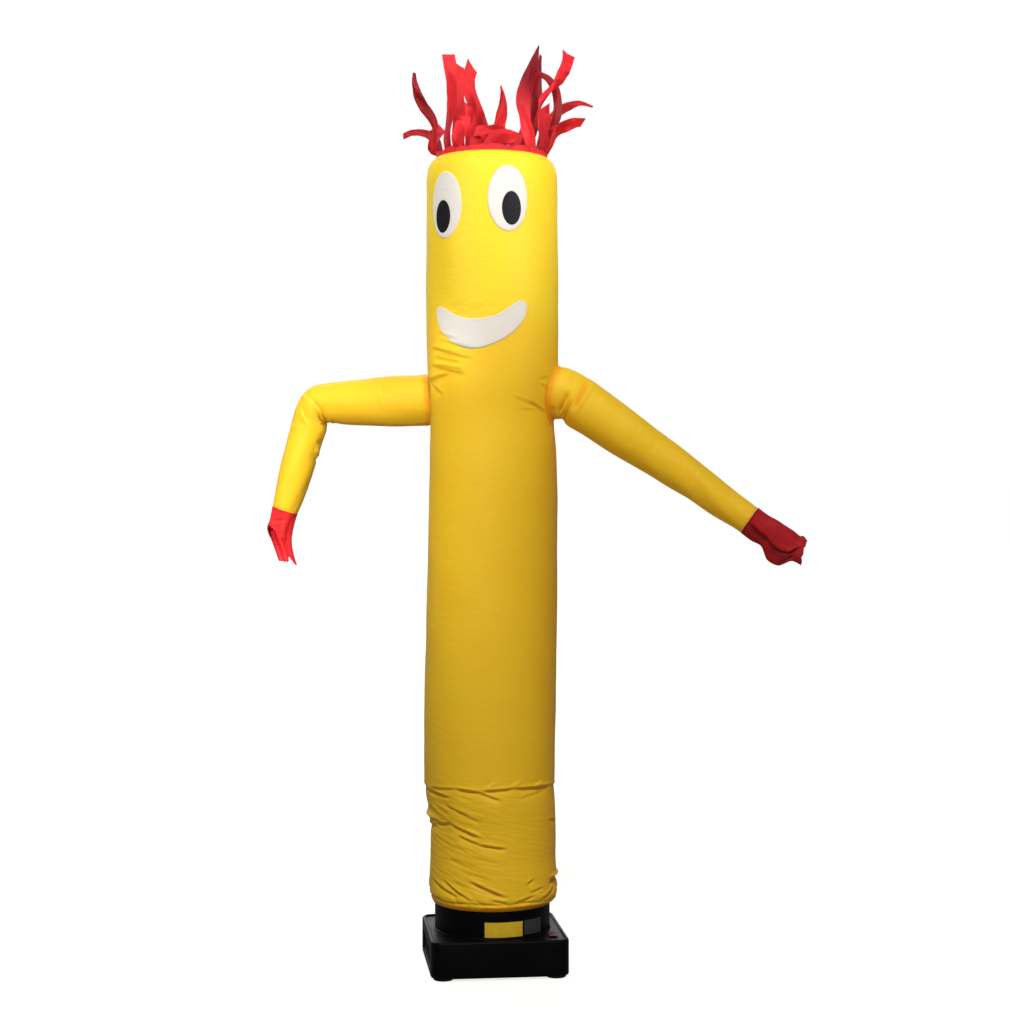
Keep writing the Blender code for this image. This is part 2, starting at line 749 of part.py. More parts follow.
def build_foot_pads(rubber, base):
    """Four rubber discs under the corners."""
    reach = BASE_SIDE / 2 - BASE_CORNER - CLOTH
    profile = [
        (PAD_RADIUS - 0.002, 0.0),
        (PAD_RADIUS, 0.002),
        (PAD_RADIUS, BASE_UNDERSIDE - PART_GAP),
    ]
    rings = [
        [(radius * math.cos(t), radius * math.sin(t), height) for t in round_turns(24)]
        for radius, height in profile
    ]
    corners = ((-reach, -reach), (reach, -reach), (-reach, reach), (reach, reach))
    for number, corner in enumerate(corners, start=1):
        name = f"foot_pad_{number}"
        pad = add_piece(name, stack_mesh(name, rings), rubber, base)
        pad.location = (*corner, 0)


def build_intake_grille(plastic, base):
    """A slotted plate set into the pocket in the base's side."""
    half_length = INTAKE_HALF_LENGTH - GRILLE_FIT
    pitch = 2 * (half_length - GRILLE_BORDER) / GRILLE_SLOTS
    cuts = [-half_length]
    for slot in range(GRILLE_SLOTS):
        middle = -half_length + GRILLE_BORDER + (slot + 0.5) * pitch
        cuts += [middle - pitch * SLOT_SHARE / 2, middle + pitch * SLOT_SHARE / 2]
    cuts.append(half_length)
    low, top = INTAKE_LOW + GRILLE_FIT, INTAKE_TOP - GRILLE_FIT
    levels = [low, low + GRILLE_BORDER, top - GRILLE_BORDER, top]
    face = -BASE_SIDE / 2 + GRILLE_SET_BACK
    sides = [[[(x, y, z) for y in cuts] for z in levels] for x in (face, face + GRILLE_THICK)]

    def is_open(row, column):
        return row == 1 and column % 2 == 1

    mesh = skin_mesh("intake_grille", *sides, closed_round=False, is_open=is_open, sharp_deg=None)
    add_piece("intake_grille", mesh, plastic, base)


def build_collar(plastic, root):
    """The round outlet, its top edge eased so that the hem slips over it."""
    turns = round_turns(48)

    def ring(radius, height):
        return [
            (COLLAR_SHIFT + radius * math.cos(t), radius * math.sin(t), height) for t in turns
        ]

    foot = BASE_DECK + PART_GAP
    shoulder = COLLAR_TOP - 0.003
    bore = COLLAR_RADIUS - COLLAR_WALL
    outer = [ring(COLLAR_RADIUS, foot), ring(COLLAR_RADIUS, shoulder)]
    outer.append(ring(COLLAR_RADIUS - 0.0012, COLLAR_TOP))
    inner = [ring(bore, foot), ring(bore, shoulder), ring(bore + 0.0004, COLLAR_TOP)]
    add_piece("blower_collar", skin_mesh("blower_collar", outer, inner), plastic, root)


def build_plate(name, place, film, root):
    """A bare plate stuck to the front of the collar."""
    columns = 10
    (start, end), low, high = place
    sides = []
    for off in (PART_GAP + APPLIQUE, PART_GAP):
        reach = COLLAR_RADIUS + off
        grid = []
        for height in (low, high):
            row = []
            for column in range(columns + 1):
                turn = math.radians(start + (end - start) * column / columns)
                row.append((COLLAR_SHIFT + reach * math.sin(turn), -reach * math.cos(turn), height))
            grid.append(row)
        sides.append(grid)
    add_piece(name, skin_mesh(name, *sides, closed_round=False), film, root)


def build_switch(plastic, red, base):
    """A rocker in a plain bezel on the deck; it rests pressed down at the front."""
    (outer_x, outer_y), (inner_x, inner_y) = BEZEL_HALF, BEZEL_OPENING_HALF
    cuts_x = [-outer_x, -inner_x, inner_x, outer_x]
    cuts_y = [-outer_y, -inner_y, inner_y, outer_y]
    sides = [[[(a, b, z) for a in cuts_x] for b in cuts_y] for z in (BEZEL_TOP, PART_GAP)]

    def is_open(row, column):
        return row == 1 and column == 1

    mesh = skin_mesh("switch_bezel", *sides, closed_round=False, is_open=is_open, sharp_deg=None)
    bezel = add_piece("switch_bezel", mesh, plastic, base)
    bezel.location = (*SWITCH_AT, BASE_DECK)
    rings = [[(a, b, z) for b, z in ROCKER_SIDE] for a in (-ROCKER_HALF_WIDTH, ROCKER_HALF_WIDTH)]
    rocker_mesh = stack_mesh("switch_rocker", rings, sharp_deg=None)
    rocker = add_piece("switch_rocker", rocker_mesh, red, base)
    rocker.location = (*SWITCH_AT, BASE_DECK + ROCKER_PIVOT)
    rocker.rotation_euler = (math.radians(SWITCH_REST_DEG), 0, 0)


# ---- assembly ------------------------------------------------------------------------------------
def build():
    for old in list(bpy.data.objects):
        bpy.data.objects.remove(old, do_unlink=True)
    materials = {name: make_material(name) for name in FINISHES}
    yellow, red = materials["yellow_nylon"], materials["red_nylon"]
    white, black = materials["white_nylon"], materials["black_nylon"]
    plastic, rubber = materials["black_plastic"], materials["black_rubber"]

    root = bpy.data.objects.new("dancer_root", None)
    bpy.context.scene.collection.objects.link(root)
    root.location = (*TUBE_AXIS, 0)
    base = bpy.data.objects.new("base_root", None)
    bpy.context.scene.collection.objects.link(base)
    base.parent = root
    base.location = (*BASE_SHIFT, 0)
    base.rotation_euler = (0, 0, math.radians(BASE_YAW_DEG))

    build_body_tube(yellow, root)
    build_crown_panel(yellow, root)
    build_arm("arm_bent", ARM_BENT, ARM_BENT_DEG, yellow, root)
    build_arm("arm_straight", ARM_STRAIGHT, ARM_STRAIGHT_DEG, yellow, root)
    build_hand("hand_bent", HAND_BENT, ARM_BENT_DEG, bent_hand_cut, red, root)
    build_hand("hand_straight", HAND_STRAIGHT, ARM_STRAIGHT_DEG, straight_hand_cut, red, root)
    build_hair_band(red, root)
    build_hair(red, root)
    for name, oval in FACE.items():
        build_oval(name, oval, black if name.startswith("pupil") else white, root)
    build_mouth(white, root)
    build_foot(plastic, base)
    build_foot_pads(rubber, base)
    build_intake_grille(plastic, base)
    build_collar(plastic, root)
    build_plate("plate_yellow", PLATE_YELLOW, materials["yellow_film"], root)
    build_plate("plate_grey", PLATE_GREY, materials["grey_film"], root)
    build_switch(plastic, materials["red_plastic"], base)


build()
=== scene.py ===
"""An inflatable air dancer on its floor blower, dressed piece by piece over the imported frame."""

import math
from collections import namedtuple
from functools import partialmethod

import bmesh
import bpy
import numpy as np
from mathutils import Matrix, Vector


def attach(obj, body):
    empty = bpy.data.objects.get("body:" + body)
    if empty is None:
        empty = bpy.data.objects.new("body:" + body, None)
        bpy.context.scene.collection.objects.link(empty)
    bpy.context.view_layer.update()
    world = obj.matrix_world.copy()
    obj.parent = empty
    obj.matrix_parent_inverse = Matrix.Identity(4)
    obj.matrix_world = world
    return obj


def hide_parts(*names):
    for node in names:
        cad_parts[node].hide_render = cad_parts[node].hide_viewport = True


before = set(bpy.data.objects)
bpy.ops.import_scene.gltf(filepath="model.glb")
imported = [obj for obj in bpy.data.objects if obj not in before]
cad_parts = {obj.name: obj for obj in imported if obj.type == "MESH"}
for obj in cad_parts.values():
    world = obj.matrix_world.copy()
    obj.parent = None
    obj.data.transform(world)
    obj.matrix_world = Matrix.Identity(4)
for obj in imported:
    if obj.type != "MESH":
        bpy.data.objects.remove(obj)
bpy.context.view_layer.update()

# ---- View and studio ----
# A level camera stands four and a half metres off at the height of the dancer's elbows. The dancer
# stands on a wide pale floor, in soft white light that is brighter round its head than at its foot.
scene = bpy.context.scene
scene.view_settings.view_transform = "Standard"


class Reading:
    """A value in a node tree; sums on it add Math nodes."""

    def __init__(self, wiring, socket):
        self.wiring = wiring
        self.socket = socket

    def other(self, output):
        return Reading(self.wiring, self.socket.node.outputs[output])

    def sum(self, operation, *more):
        values = dict(enumerate((self, *more)))
        return self.wiring.node("ShaderNodeMath", {"operation": operation}, values)

    sine = partialmethod(sum, "SINE")
    __add__ = __radd__ = partialmethod(sum, "ADD")
    __sub__ = partialmethod(sum, "SUBTRACT")
    __mul__ = __rmul__ = partialmethod(sum, "MULTIPLY")
    __pow__ = partialmethod(sum, "POWER")


class Wiring:
    """A node tree, and the one way nodes are added to it."""

    def __init__(self, tree):
        self.tree = tree

    def node(self, kind, settings=None, sockets=None, output=0):
        made = self.tree.nodes.new(kind)
        for name, value in (settings or {}).items():
            setattr(made, name, value)
        self.feed(made, sockets or {})
        return Reading(self, made.outputs[output])

    def feed(self, made, sockets):
        for place, value in sockets.items():
            if isinstance(value, Reading):
                self.tree.links.new(value.socket, made.inputs[place])
            else:
                made.inputs[place].default_value = value


class Paint(Wiring):
    """A material on the Principled shader; even values go straight on the shader's sockets."""

    def __init__(self, name, even):
        self.material = bpy.data.materials.new(name)
        self.material.use_nodes = True
        super().__init__(self.material.node_tree)
        self.shader = self.tree.nodes["Principled BSDF"]
        self.feed(self.shader, even)

    def noise(self, place, scale, detail=3.0, rough=0.5):
        sockets = {"Vector": place, "Scale": scale, "Detail": detail, "Roughness": rough}
        return self.node("ShaderNodeTexNoise", sockets=sockets)

    def tint(self, share, plain, deep):
        sockets = {0: share, 6: (*plain, 1.0), 7: (*deep, 1.0)}
        return self.node("ShaderNodeMix", {"data_type": "RGBA"}, sockets, output=2)

    def where(self):
        return self.node("ShaderNodeTexCoord", output="Object")

    def done(self, color, rough=None, relief=None):
        """Feeds the shader what varies over the surface; relief is in metres."""
        self.feed(self.shader, {"Base Color": color})
        if relief is not None:
            bumps = self.node("ShaderNodeBump", sockets={"Distance": 1.0, "Height": relief})
            self.feed(self.shader, {"Roughness": rough, "Normal": bumps})
        return self.material


def put(name, data):
    made = bpy.data.objects.new(name, data)
    scene.collection.objects.link(made)
    return made


def lamp(name, at, aim, size, power, color=(1.0, 1.0, 1.0), spread_deg=180):
    light = bpy.data.lights.new(name, "AREA")
    light.size = size
    light.energy = power
    light.color = color
    light.spread = math.radians(spread_deg)
    made = put(name, light)
    made.location = at
    made.rotation_euler = (Vector(aim) - Vector(at)).to_track_quat("-Z", "Y").to_euler()


view = bpy.data.cameras.new("view")
view.lens = 67.87
view.sensor_width = 36.0
camera = put("view", view)
camera.location = (-0.0599, -4.59, 1.106)
camera.rotation_euler = (math.pi / 2, 0.0, 0.0)
scene.camera = camera

lamp("key_left", (-3.3, -3.2, 2.8), (-0.12, 0.0, 2.02), 0.8, 1.6, spread_deg=15)
lamp("key_right", (3.3, -3.1, 2.7), (-0.08, 0.0, 2.02), 0.8, 2.25, spread_deg=15)
lamp("arm_key", (-1.7, -4.0, 2.4), (-0.62, 0.10, 1.14), 0.7, 2.1, spread_deg=15)
lamp("bounce", (-0.2, -2.6, 0.1), (-0.1, 0.0, 1.35), 2.0, 2.6, color=(1.0, 0.68, 0.34))
lamp("fill", (3.0, -3.2, 1.2), (-0.08, 0.0, 0.9), 2.4, 8, color=(1.0, 0.78, 0.50))
lamp("chest_key", (-2.0, -3.6, 2.3), (-0.215, -0.1, 1.46), 0.15, 0.035, spread_deg=3)
lamp("under_left", (-0.55, -0.9, 0.25), (-0.42, 0.0, 1.36), 0.5, 0.10, (1.0, 0.72, 0.30), 24)
lamp("under_right", (0.50, -0.9, 0.15), (0.36, 0.0, 1.17), 0.6, 0.22, (1.0, 0.74, 0.30), 28)

SUNS = {"front": (1.85, 16, (0.02, 0.90, -0.98)), "back": (1.1, 50, (0.25, -0.95, -0.55))}
for name, (strength, angle, way) in SUNS.items():
    sun = bpy.data.lights.new(name, "SUN")
    sun.energy = strength
    sun.angle = math.radians(angle)
    put(name, sun).rotation_euler = Vector(way).to_track_quat("-Z", "Y").to_euler()

world = bpy.data.worlds.new("studio")
world.use_nodes = True
sky = {"Color": (1.0, 0.95, 0.89, 1.0), "Strength": 0.20}
Wiring(world.node_tree).feed(world.node_tree.nodes["Background"], sky)
scene.world = world


def circle(reach, height, columns=96):
    turns = [2 * math.pi * step / columns for step in range(columns)]
    return [(reach * math.cos(turn), reach * math.sin(turn), height) for turn in turns]


def lofted(name, rings, capped=True):
    """A mesh through rings of as many points each."""
    count = len(rings[0])
    faces = []
    for row in range(len(rings) - 1):
        for spot in range(count):
            beside = (spot + 1) % count
            low, high = row * count, (row + 1) * count
            faces.append((low + spot, low + beside, high + beside, high + spot))
    if capped:
        faces.append(tuple(range(count))[::-1])
        faces.append(tuple(range((len(rings) - 1) * count, len(rings) * count)))
    mesh = bpy.data.meshes.new(name)
    mesh.from_pydata([tuple(point) for ring in rings for point in ring], [], faces)
    return mesh


FLOOR_REACH = 60.0
BACKDROP_REACH = 59.0
BACKDROP_HEIGHTS = (-0.5, 40.0)
floor_mesh = bpy.data.meshes.new("floor")
floor_mesh.from_pydata(circle(FLOOR_REACH, 0.0), [], [range(96)])
floor = put("floor", floor_mesh)
lift = {"Emission Strength": 0.80, "Emission Color": (1.0, 0.99, 0.98, 1.0)}
pale = Paint("pale floor", {"Roughness": 0.9, "Specular IOR Level": 0.1, **lift})
mottle = pale.noise(pale.where(), 6.0)
floor_mesh.materials.append(pale.done(pale.tint(mottle, (0.36, 0.358, 0.352), (0.33, 0.328, 0.322))))
floor.visible_glossy = False
floor.visible_diffuse = False

wall_rings = [circle(BACKDROP_REACH, height) for height in BACKDROP_HEIGHTS]
wall_mesh = lofted("backdrop", wall_rings, capped=False)
backdrop = put("backdrop", wall_mesh)
lit_wall = Paint("backdrop", {"Emission Strength": 1.0, "Emission Color": (1.0, 0.995, 0.99, 1.0)})
wall_mesh.materials.append(lit_wall.done((0.0, 0.0, 0.0, 1.0)))
for ray in ("diffuse", "glossy", "transmission", "shadow"):
    setattr(backdrop, f"visible_{ray}", False)

# ---- Blower foot ----
# The low square box of black plastic that the fan sits in. It is moulded in one piece with rounded
# corners and a raised rim round its deck, and its left side is sunk to take the intake grille.
FOOT_CENTRE = (-0.087, -0.004)
FOOT_TURN = math.radians(6.6)
FOOT_SIDE = 0.325
FOOT_CORNER = 0.028
FOOT_DECK = 0.087
FOOT_RIM = 0.091
FOOT_UNDERSIDE = 0.006
POCKET_LOW = 0.0215
POCKET_TOP = 0.0665
POCKET_HALF = 0.1055
POCKET_DEPTH = 0.012


def moulded_plastic(name, color, worn, gloss=0.36, grain=0.00006):
    """Cast plastic: a fine pebbled skin, duller and paler in the patches where it is rubbed."""
    paint = Paint(name, {"Specular IOR Level": 0.07})
    place = paint.where()
    rubbed = paint.noise(place, 9.0, 5.0, 0.65) ** 3.0 * 1.6
    long_ways = {0: place, 1: (14.0, 14.0, 160.0)}
    drawn_out = paint.node("ShaderNodeVectorMath", {"operation": "MULTIPLY"}, long_ways)
    streaks = paint.noise(drawn_out, 1.0, 2.0)
    pebbles = paint.noise(place, 900.0, 2.0, 0.6)
    dents = paint.noise(place, 22.0, 2.0)
    rough = gloss + 0.22 * rubbed + 0.08 * streaks
    return paint.done(paint.tint(rubbed, color, worn), rough, grain * pebbles + 0.0004 * dents)


def points_of(*columns):
    """Points from their coordinates, all brought to one grid."""
    return np.stack(np.broadcast_arrays(*columns), -1)


def on_foot(points):
    """Points of the foot's own square put where it stands."""
    x, y, z = np.moveaxis(np.array(points, float), -1, 0)
    cos, sin = math.cos(FOOT_TURN), math.sin(FOOT_TURN)
    return points_of(FOOT_CENTRE[0] + cos * x - sin * y, FOOT_CENTRE[1] + sin * x + cos * y, z)


def rounded_square(half, corner, height, steps=9):
    """A ring of points round a square with rounded corners, set where the foot stands."""
    ring = []
    flat = half - corner
    for quarter, (x, y) in enumerate(((1, 1), (-1, 1), (-1, -1), (1, -1))):
        for step in range(steps):
            turn = math.pi / 2 * (quarter + step / (steps - 1))
            out, along = x * flat + corner * math.cos(turn), y * flat + corner * math.sin(turn)
            ring.append((out, along, height))
    return on_foot(ring)


def outward(mesh, merge=1e-6):
    """Joins a closed mesh's doubled points and turns its faces outwards."""
    work = bmesh.new()
    work.from_mesh(mesh)
    bmesh.ops.remove_doubles(work, verts=work.verts, dist=merge)
    bmesh.ops.recalc_face_normals(work, faces=work.faces)
    work.to_mesh(mesh)
    work.free()
    return mesh


def set_fast(piece):
    """Makes what a piece's modifiers do part of its mesh."""
    graph = bpy.context.evaluated_depsgraph_get()
    made = bpy.data.meshes.new_from_object(piece.evaluated_get(graph))
    piece.modifiers.clear()
    piece.data = made


def fit(name, mesh, material, stands_for, sharp_deg=None):
    """Adds a finished piece, rides it on the dancer and lets it stand for its solids."""
    mesh.materials.clear()
    mesh.materials.append(material)
    mesh.shade_smooth()
    if sharp_deg is not None:
        mesh.set_sharp_from_angle(angle=math.radians(sharp_deg))
    piece = put(name, mesh)
    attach(piece, "dancer")
    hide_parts(*stands_for)
    return piece


black_plastic = moulded_plastic("black_plastic", (0.0008, 0.0008, 0.0014), (0.004, 0.004, 0.005))


def foot_profile():
    """How far in and how high the foot's rings lie, from its underside up over the rim."""
    rows = []
    for step in range(5):
        turn = math.pi / 8 * step
        rows.append((0.004 * (1 - math.sin(turn)), FOOT_UNDERSIDE + 0.004 * (1 - math.cos(turn))))
    for step in range(7):
        turn = math.pi / 12 * step
        rows.append((0.0055 * (1 - math.cos(turn)), FOOT_RIM - 0.0055 * (1 - math.sin(turn))))
    rows += [(0.0068, FOOT_RIM), (0.0077, FOOT_RIM - 0.0006), (0.0081, FOOT_RIM - 0.0018)]
    rows += [(0.0084, FOOT_DECK + 0.0008), (0.0092, FOOT_DECK)]
    return rows


foot_rings = [
    rounded_square(FOOT_SIDE / 2 - inset, max(FOOT_CORNER - inset, 0.006), height)
    for inset, height in foot_profile()
]
foot = put("foot", outward(lofted("foot", foot_rings)))
pocket_rings = []
for deep, tight in ((-0.004, -0.0012), (0.0, -0.0012), (0.0012, 0.0), (POCKET_DEPTH, 0.0)):
    half, low, top = POCKET_HALF - tight, POCKET_LOW + tight, POCKET_TOP - tight
    corners = ((-half, low), (half, low), (half, top), (-half, top))
    pocket_rings.append(on_foot([(deep - FOOT_SIDE / 2, y, z) for y, z in corners]))
pocket = put("pocket", outward(lofted("pocket", pocket_rings)))
cut = foot.modifiers.new("pocket", "BOOLEAN")
cut.operation = "DIFFERENCE"
cut.solver = "EXACT"
cut.object = pocket
set_fast(foot)
foot_mesh = foot.data
bpy.data.objects.remove(foot)
bpy.data.objects.remove(pocket)
fit("foot", foot_mesh, black_plastic, stands_for=["blower_foot"], sharp_deg=32)

# ---- Feet, grille and switch ----
# Four rubber feet are pressed into the underside, a slotted plastic grille snaps into the sunk side,
# and a red rocker tilts in a black bezel on the deck. They are hard mouldings, kept as they are.
rubber = moulded_plastic("foot_rubber", (0.02, 0.02, 0.02), (0.05, 0.05, 0.05), 0.75, 0.0001)
red_plastic = moulded_plastic("rocker_red", (0.17, 0.003, 0.004), (0.22, 0.01, 0.01), 0.30, 0.00002)


def dress(material, *nodes):
    """Gives solids that stay as they are their material."""
    for node in nodes:
        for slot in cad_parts[node].material_slots:
            slot.material = material


dress(rubber, "foot_pad_1", "foot_pad_2", "foot_pad_3", "foot_pad_4")
dress(black_plastic, "intake_grille", "switch_bezel")
dress(red_plastic, "switch_rocker")

# ---- Outlet collar ----
# The round plastic neck that the air leaves by, turned in one with the deck's moulding. Its lip is
# rounded so that the cloth drawn over it doesn't chafe, and a small bead seals it to the deck.
COLLAR_CENTRE = (-0.0905, 0.010)
COLLAR_RADIUS = 0.1385
COLLAR_WALL = 0.004
COLLAR_TOP = 0.201


def turned(name, profile, centre, columns=144):
    """A ring turned about an upright axis from its closed profile of (radius, height)."""
    turns = np.linspace(0, 2 * math.pi, columns, endpoint=False)
    rings = [
        points_of(centre[0] + radius * np.cos(turns), centre[1] + radius * np.sin(turns), height)
        for radius, height in [*profile, profile[0]]
    ]
    return outward(lofted(name, rings, capped=False))


lip = COLLAR_WALL / 2
collar_profile = [(COLLAR_RADIUS + 0.0022, FOOT_DECK + 0.0002), (COLLAR_RADIUS + 0.0022, 0.0880)]
collar_profile += [(COLLAR_RADIUS + 0.0012, 0.0895), (COLLAR_RADIUS, 0.0902)]
collar_profile += [(COLLAR_RADIUS, 0.12), (COLLAR_RADIUS, 0.16)]
for step in range(9):
    turn = math.pi * step / 8
    collar_profile.append(
        (COLLAR_RADIUS - lip + lip * math.cos(turn), COLLAR_TOP - lip + lip * math.sin(turn))
    )
collar_profile += [(COLLAR_RADIUS - COLLAR_WALL, FOOT_DECK + 0.0002)]
fit(
    "collar",
    turned("collar", collar_profile, COLLAR_CENTRE),
    black_plastic,
    stands_for=["blower_collar"],
    sharp_deg=40,
)

# ---- Plates ----
# Two thin plastic films are stuck on the collar's front, a yellow one and a grey one. They are left
# bare of print, with the faint mottle and ripples that such films pick up.


def film(name, color, deep):
    """Stuck-on plastic film: a faint mottle in its colour and soft ripples in its skin."""
    paint = Paint(name, {})
    place = paint.where()
    mottle = paint.noise(place, 60.0, 4.0, 0.6)
    ripples = paint.noise(place, 120.0, 2.0)
    return paint.done(paint.tint(mottle, color, deep), 0.45 + 0.2 * mottle, 0.00012 * ripples)


dress(film("plate_yellow", (0.74, 0.55, 0.015), (0.56, 0.30, 0.006)), "plate_yellow")
dress(film("plate_grey", (0.019, 0.018, 0.027), (0.040, 0.039, 0.048)), "plate_grey")

# ---- Body tube ----
# One wide strip of coated yellow nylon sewn into a tube up the back. Air holds it round; it sags in
# a ring of folds at the knee, is drawn in where the arms are sewn, and its hem is turned in twice,
# gathered and tied round the collar.
TUBE_AXIS = (-0.0925, 0.0100)
TUBE_GIRTH = 0.155
TUBE_TOP = 1.939
HEM_LOW = 0.153
HEM_TIE = 0.169
SEAM_DEG = 180.0
ARM_BENT_DEG = -105.0
ARM_STRAIGHT_DEG = 82.0
PORT_HEIGHT = 1.364


def table(kind, *rows):
    return [kind(*row) for row in rows]


Section = namedtuple("Section", "height left right")
TUBE = table(
    Section,
    (0.153, 0.14, 0.144),
    (0.165, 0.144, 0.155),
    (0.182, 0.149, 0.159),
    (0.222, 0.1488, 0.1575),
    (0.271, 0.147, 0.155),
    (0.333, 0.1465, 0.155),
    (0.386, 0.155, 0.1535),
    (0.424, 0.16, 0.152),
    (0.446, 0.163, 0.1525),
    (0.606, 0.162, 0.155),
    (0.906, 0.156, 0.1585),
    (1.106, 0.1515, 0.1595),
    (1.236, 0.149, 0.156),
    (1.306, 0.1475, 0.15),
    (1.426, 0.154, 0.1605),
    (1.526, 0.1575, 0.162),
    (1.726, 0.1575, 0.16),
    (1.886, 0.157, 0.1585),
    (1.914, 0.1535, 0.1545),
    (1.93, 0.146, 0.1465),
    (1.939, 0.136, 0.136),
)

# A fold runs from one place on the cloth to another, in degrees round from the front and in
# millimetres up. It presses in by its depth and falls off over the widths above and below it; a
# fold of negative depth is a ridge.
Fold = namedtuple("Fold", "from_deg from_high to_deg to_high depth above below", defaults=(3, 6))
KNEE_FOLDS = table(
    Fold,
    (-74, 428, -37, 416.5, 6, 2.4, 7),
    (-30, 438.5, -7, 432.5, 6.5, 2.4, 8),
    (-10, 433, 10, 412.5, 5, 2.4, 6),
    (-66, 431.5, -28, 438.5, 3, 2.4, 6),
    (-6, 435, 22, 440.5, 6, 2.4, 8),
    (19, 440.5, 68, 437, 6.5, 2.4, 8),
    (-2, 443, 6, 457, -2.5, 3, 3),
    (20, 447, 28, 457, -2.2, 3, 3),
    (42, 444, 54, 451, -2.5, 3, 3),
    (27, 417, 58, 429, 1.8),
    (-64, 411, -36, 400, 1.8),
    (-46, 400, -20, 377, 3, 2.4, 6),
    (-34, 388, -9, 360, 2.6),
    (-60, 388, -40, 375, 1.6, 3, 5),
    (-130, 369, -58, 360, -6.5, 8, 4),
    (-96, 333.5, -64, 342, 5, 3, 7),
    (-66, 346, -40, 353.5, 5, 2.4, 7),
    (-42, 353, -12, 326.5, 6, 2.4, 7),
    (-33, 327, -12, 309, 5.5, 2.4, 7),
    (-14, 309, 12, 299, 6, 2.4, 6),
    (-24, 345, -10, 330, -1.8, 3, 3),
    (-41, 271, -15, 256, 1.5),
    (-33, 248, -1, 228, 1.5),
    (-50, 296, -30, 283, 1.2),
    (68, 437, 96, 430, 3, 2.4, 7),
    (94, 429, 128, 439, 6, 2.4, 8),
    (120, 436, 160, 426, 6, 2.4, 7),
    (150, 430, 190, 435, 6, 2.4, 8),
    (-176, 433, -140, 424, 6.5, 2.4, 7),
    (-144, 429, -108, 438, 5.5, 2.4, 8),
    (-110, 437, -72, 429, 3, 2.4, 7),
    (104, 410, 130, 393, 2.6),
    (-168, 365, -132, 346, 5, 2.4, 7),
    (-140, 348, -104, 339, 4.5, 2.4, 7),
    (140, 330, 172, 312, 4, 2.4, 7),
    (60, 356, 88, 344, 2),
)
HEM_FOLDS = table(
    Fold,
    (-70, 213, -31, 180, 6, 3, 5),
    (-51, 220, -29, 185, 5.3, 2.6, 5),
    (-38, 202, -20, 175, 4.4, 2.6, 4),
    (-22, 223, 12, 185, 7.5, 2.6, 7),
    (-2, 180, 13, 172, 4.4, 2.6, 4),
    (32, 213, 39, 224, 4.4, 2.6, 4),
    (47, 171, 75, 199, 6, 3, 5),
    (34, 193, 50, 201, 3, 2.6, 4),
    (20, 172, 39, 185, 3.6, 2.6, 4),
    (60, 215, 124, 214, 11.1, 3, 7),
    (60, 207, 96, 211, 7.5, 3, 5),
    (84, 182, 104, 208, 5.2, 3, 5),
    (112, 215, 142, 178, 6, 3, 5),
    (150, 176, 176, 206, 5.3, 3, 5),
    (-172, 216, -150, 182, 6, 3, 5),
    (-140, 178, -118, 212, 6, 3, 5),
    (-108, 215, -84, 180, 6, 3, 5),
)
CHEST_FOLDS = table(
    Fold,
    (-64, 1478, -28, 1456, 5.5, 3, 9),
    (-60, 1456, -28, 1439, 5, 3, 8),
    (-68, 1437, -24, 1411, 6.5, 3, 10),
    (-80, 1400, -40, 1414, 6, 3, 10),
    (-74, 1396, -50, 1364, 5, 3, 8),
    (44, 1402, 58, 1408, 2.6, 2.6, 6),
    (45, 1391, 58, 1382, 2.9, 2.6, 6),
    (33, 1351, 59, 1323, 4.2, 2.6, 8),
    (19, 1358, 42, 1340, 2.1, 2.6, 8),
    (26, 1331, 47, 1327, 1.8, 2.6, 7),
    (27, 1211, 40, 1208, 1.6, 2.6, 6),
    (-64, 1174, -32, 1130, 1.6, 3.5, 9),
    (-49, 1068, -23, 1065, 1.2, 2.6, 7),
    (-68, 1018, -27, 1006, 1.2, 2.6, 7),
    (-64, 992, -29, 981, 1.2, 2.6, 7),
    (-150, 1440, -124, 1408, 4.5, 2.6, 8),
    (-146, 1340, -126, 1356, 3.8, 2.6, 7),
    (112, 1420, 146, 1438, 4.2, 2.6, 8),
    (108, 1352, 138, 1326, 3.8, 2.6, 8),
)
HEAD_FOLDS = table(
    Fold,
    (-26, 1760, 3, 1746, 1.7),
    (-31, 1743, 6, 1744, 1.4, 2.4, 6),
    (-37, 1733, -19, 1733, 1.3, 2.4, 6),
    (-35, 1581, -4, 1568, 2.5, 2.4, 6),
    (-42, 1572, -3, 1557, 2.8, 2.4, 6),
    (-33, 1555, -18, 1550, 1.7, 2.4, 5),
    (-54, 1513, -31, 1493, 3.1, 2.4, 6),
    (-54, 1496, -17, 1472, 3.4, 2.4, 6),
    (-54, 1462, -18, 1448, 3.9, 2.4, 6),
    (-60, 1439, -26, 1422, 5, 2.4, 6),
    (-77, 1565, -55, 1568, 2, 2.4, 6),
    (-80, 1862, -62, 1857, 1.7, 2.4, 4),
    (-80, 1843, -62, 1838, 1.7, 2.4, 4),
    (-80, 1822, -62, 1819, 1.7, 2.4, 4),
    (-80, 1806, -61, 1801, 1.7, 2.4, 4),
)


def unit(values):
    return np.clip(values, 0, 1)


def hump(off, width):
    """A smooth hump, 1 at its middle and gone at about twice its width."""
    return np.exp(-((off / width) ** 2))


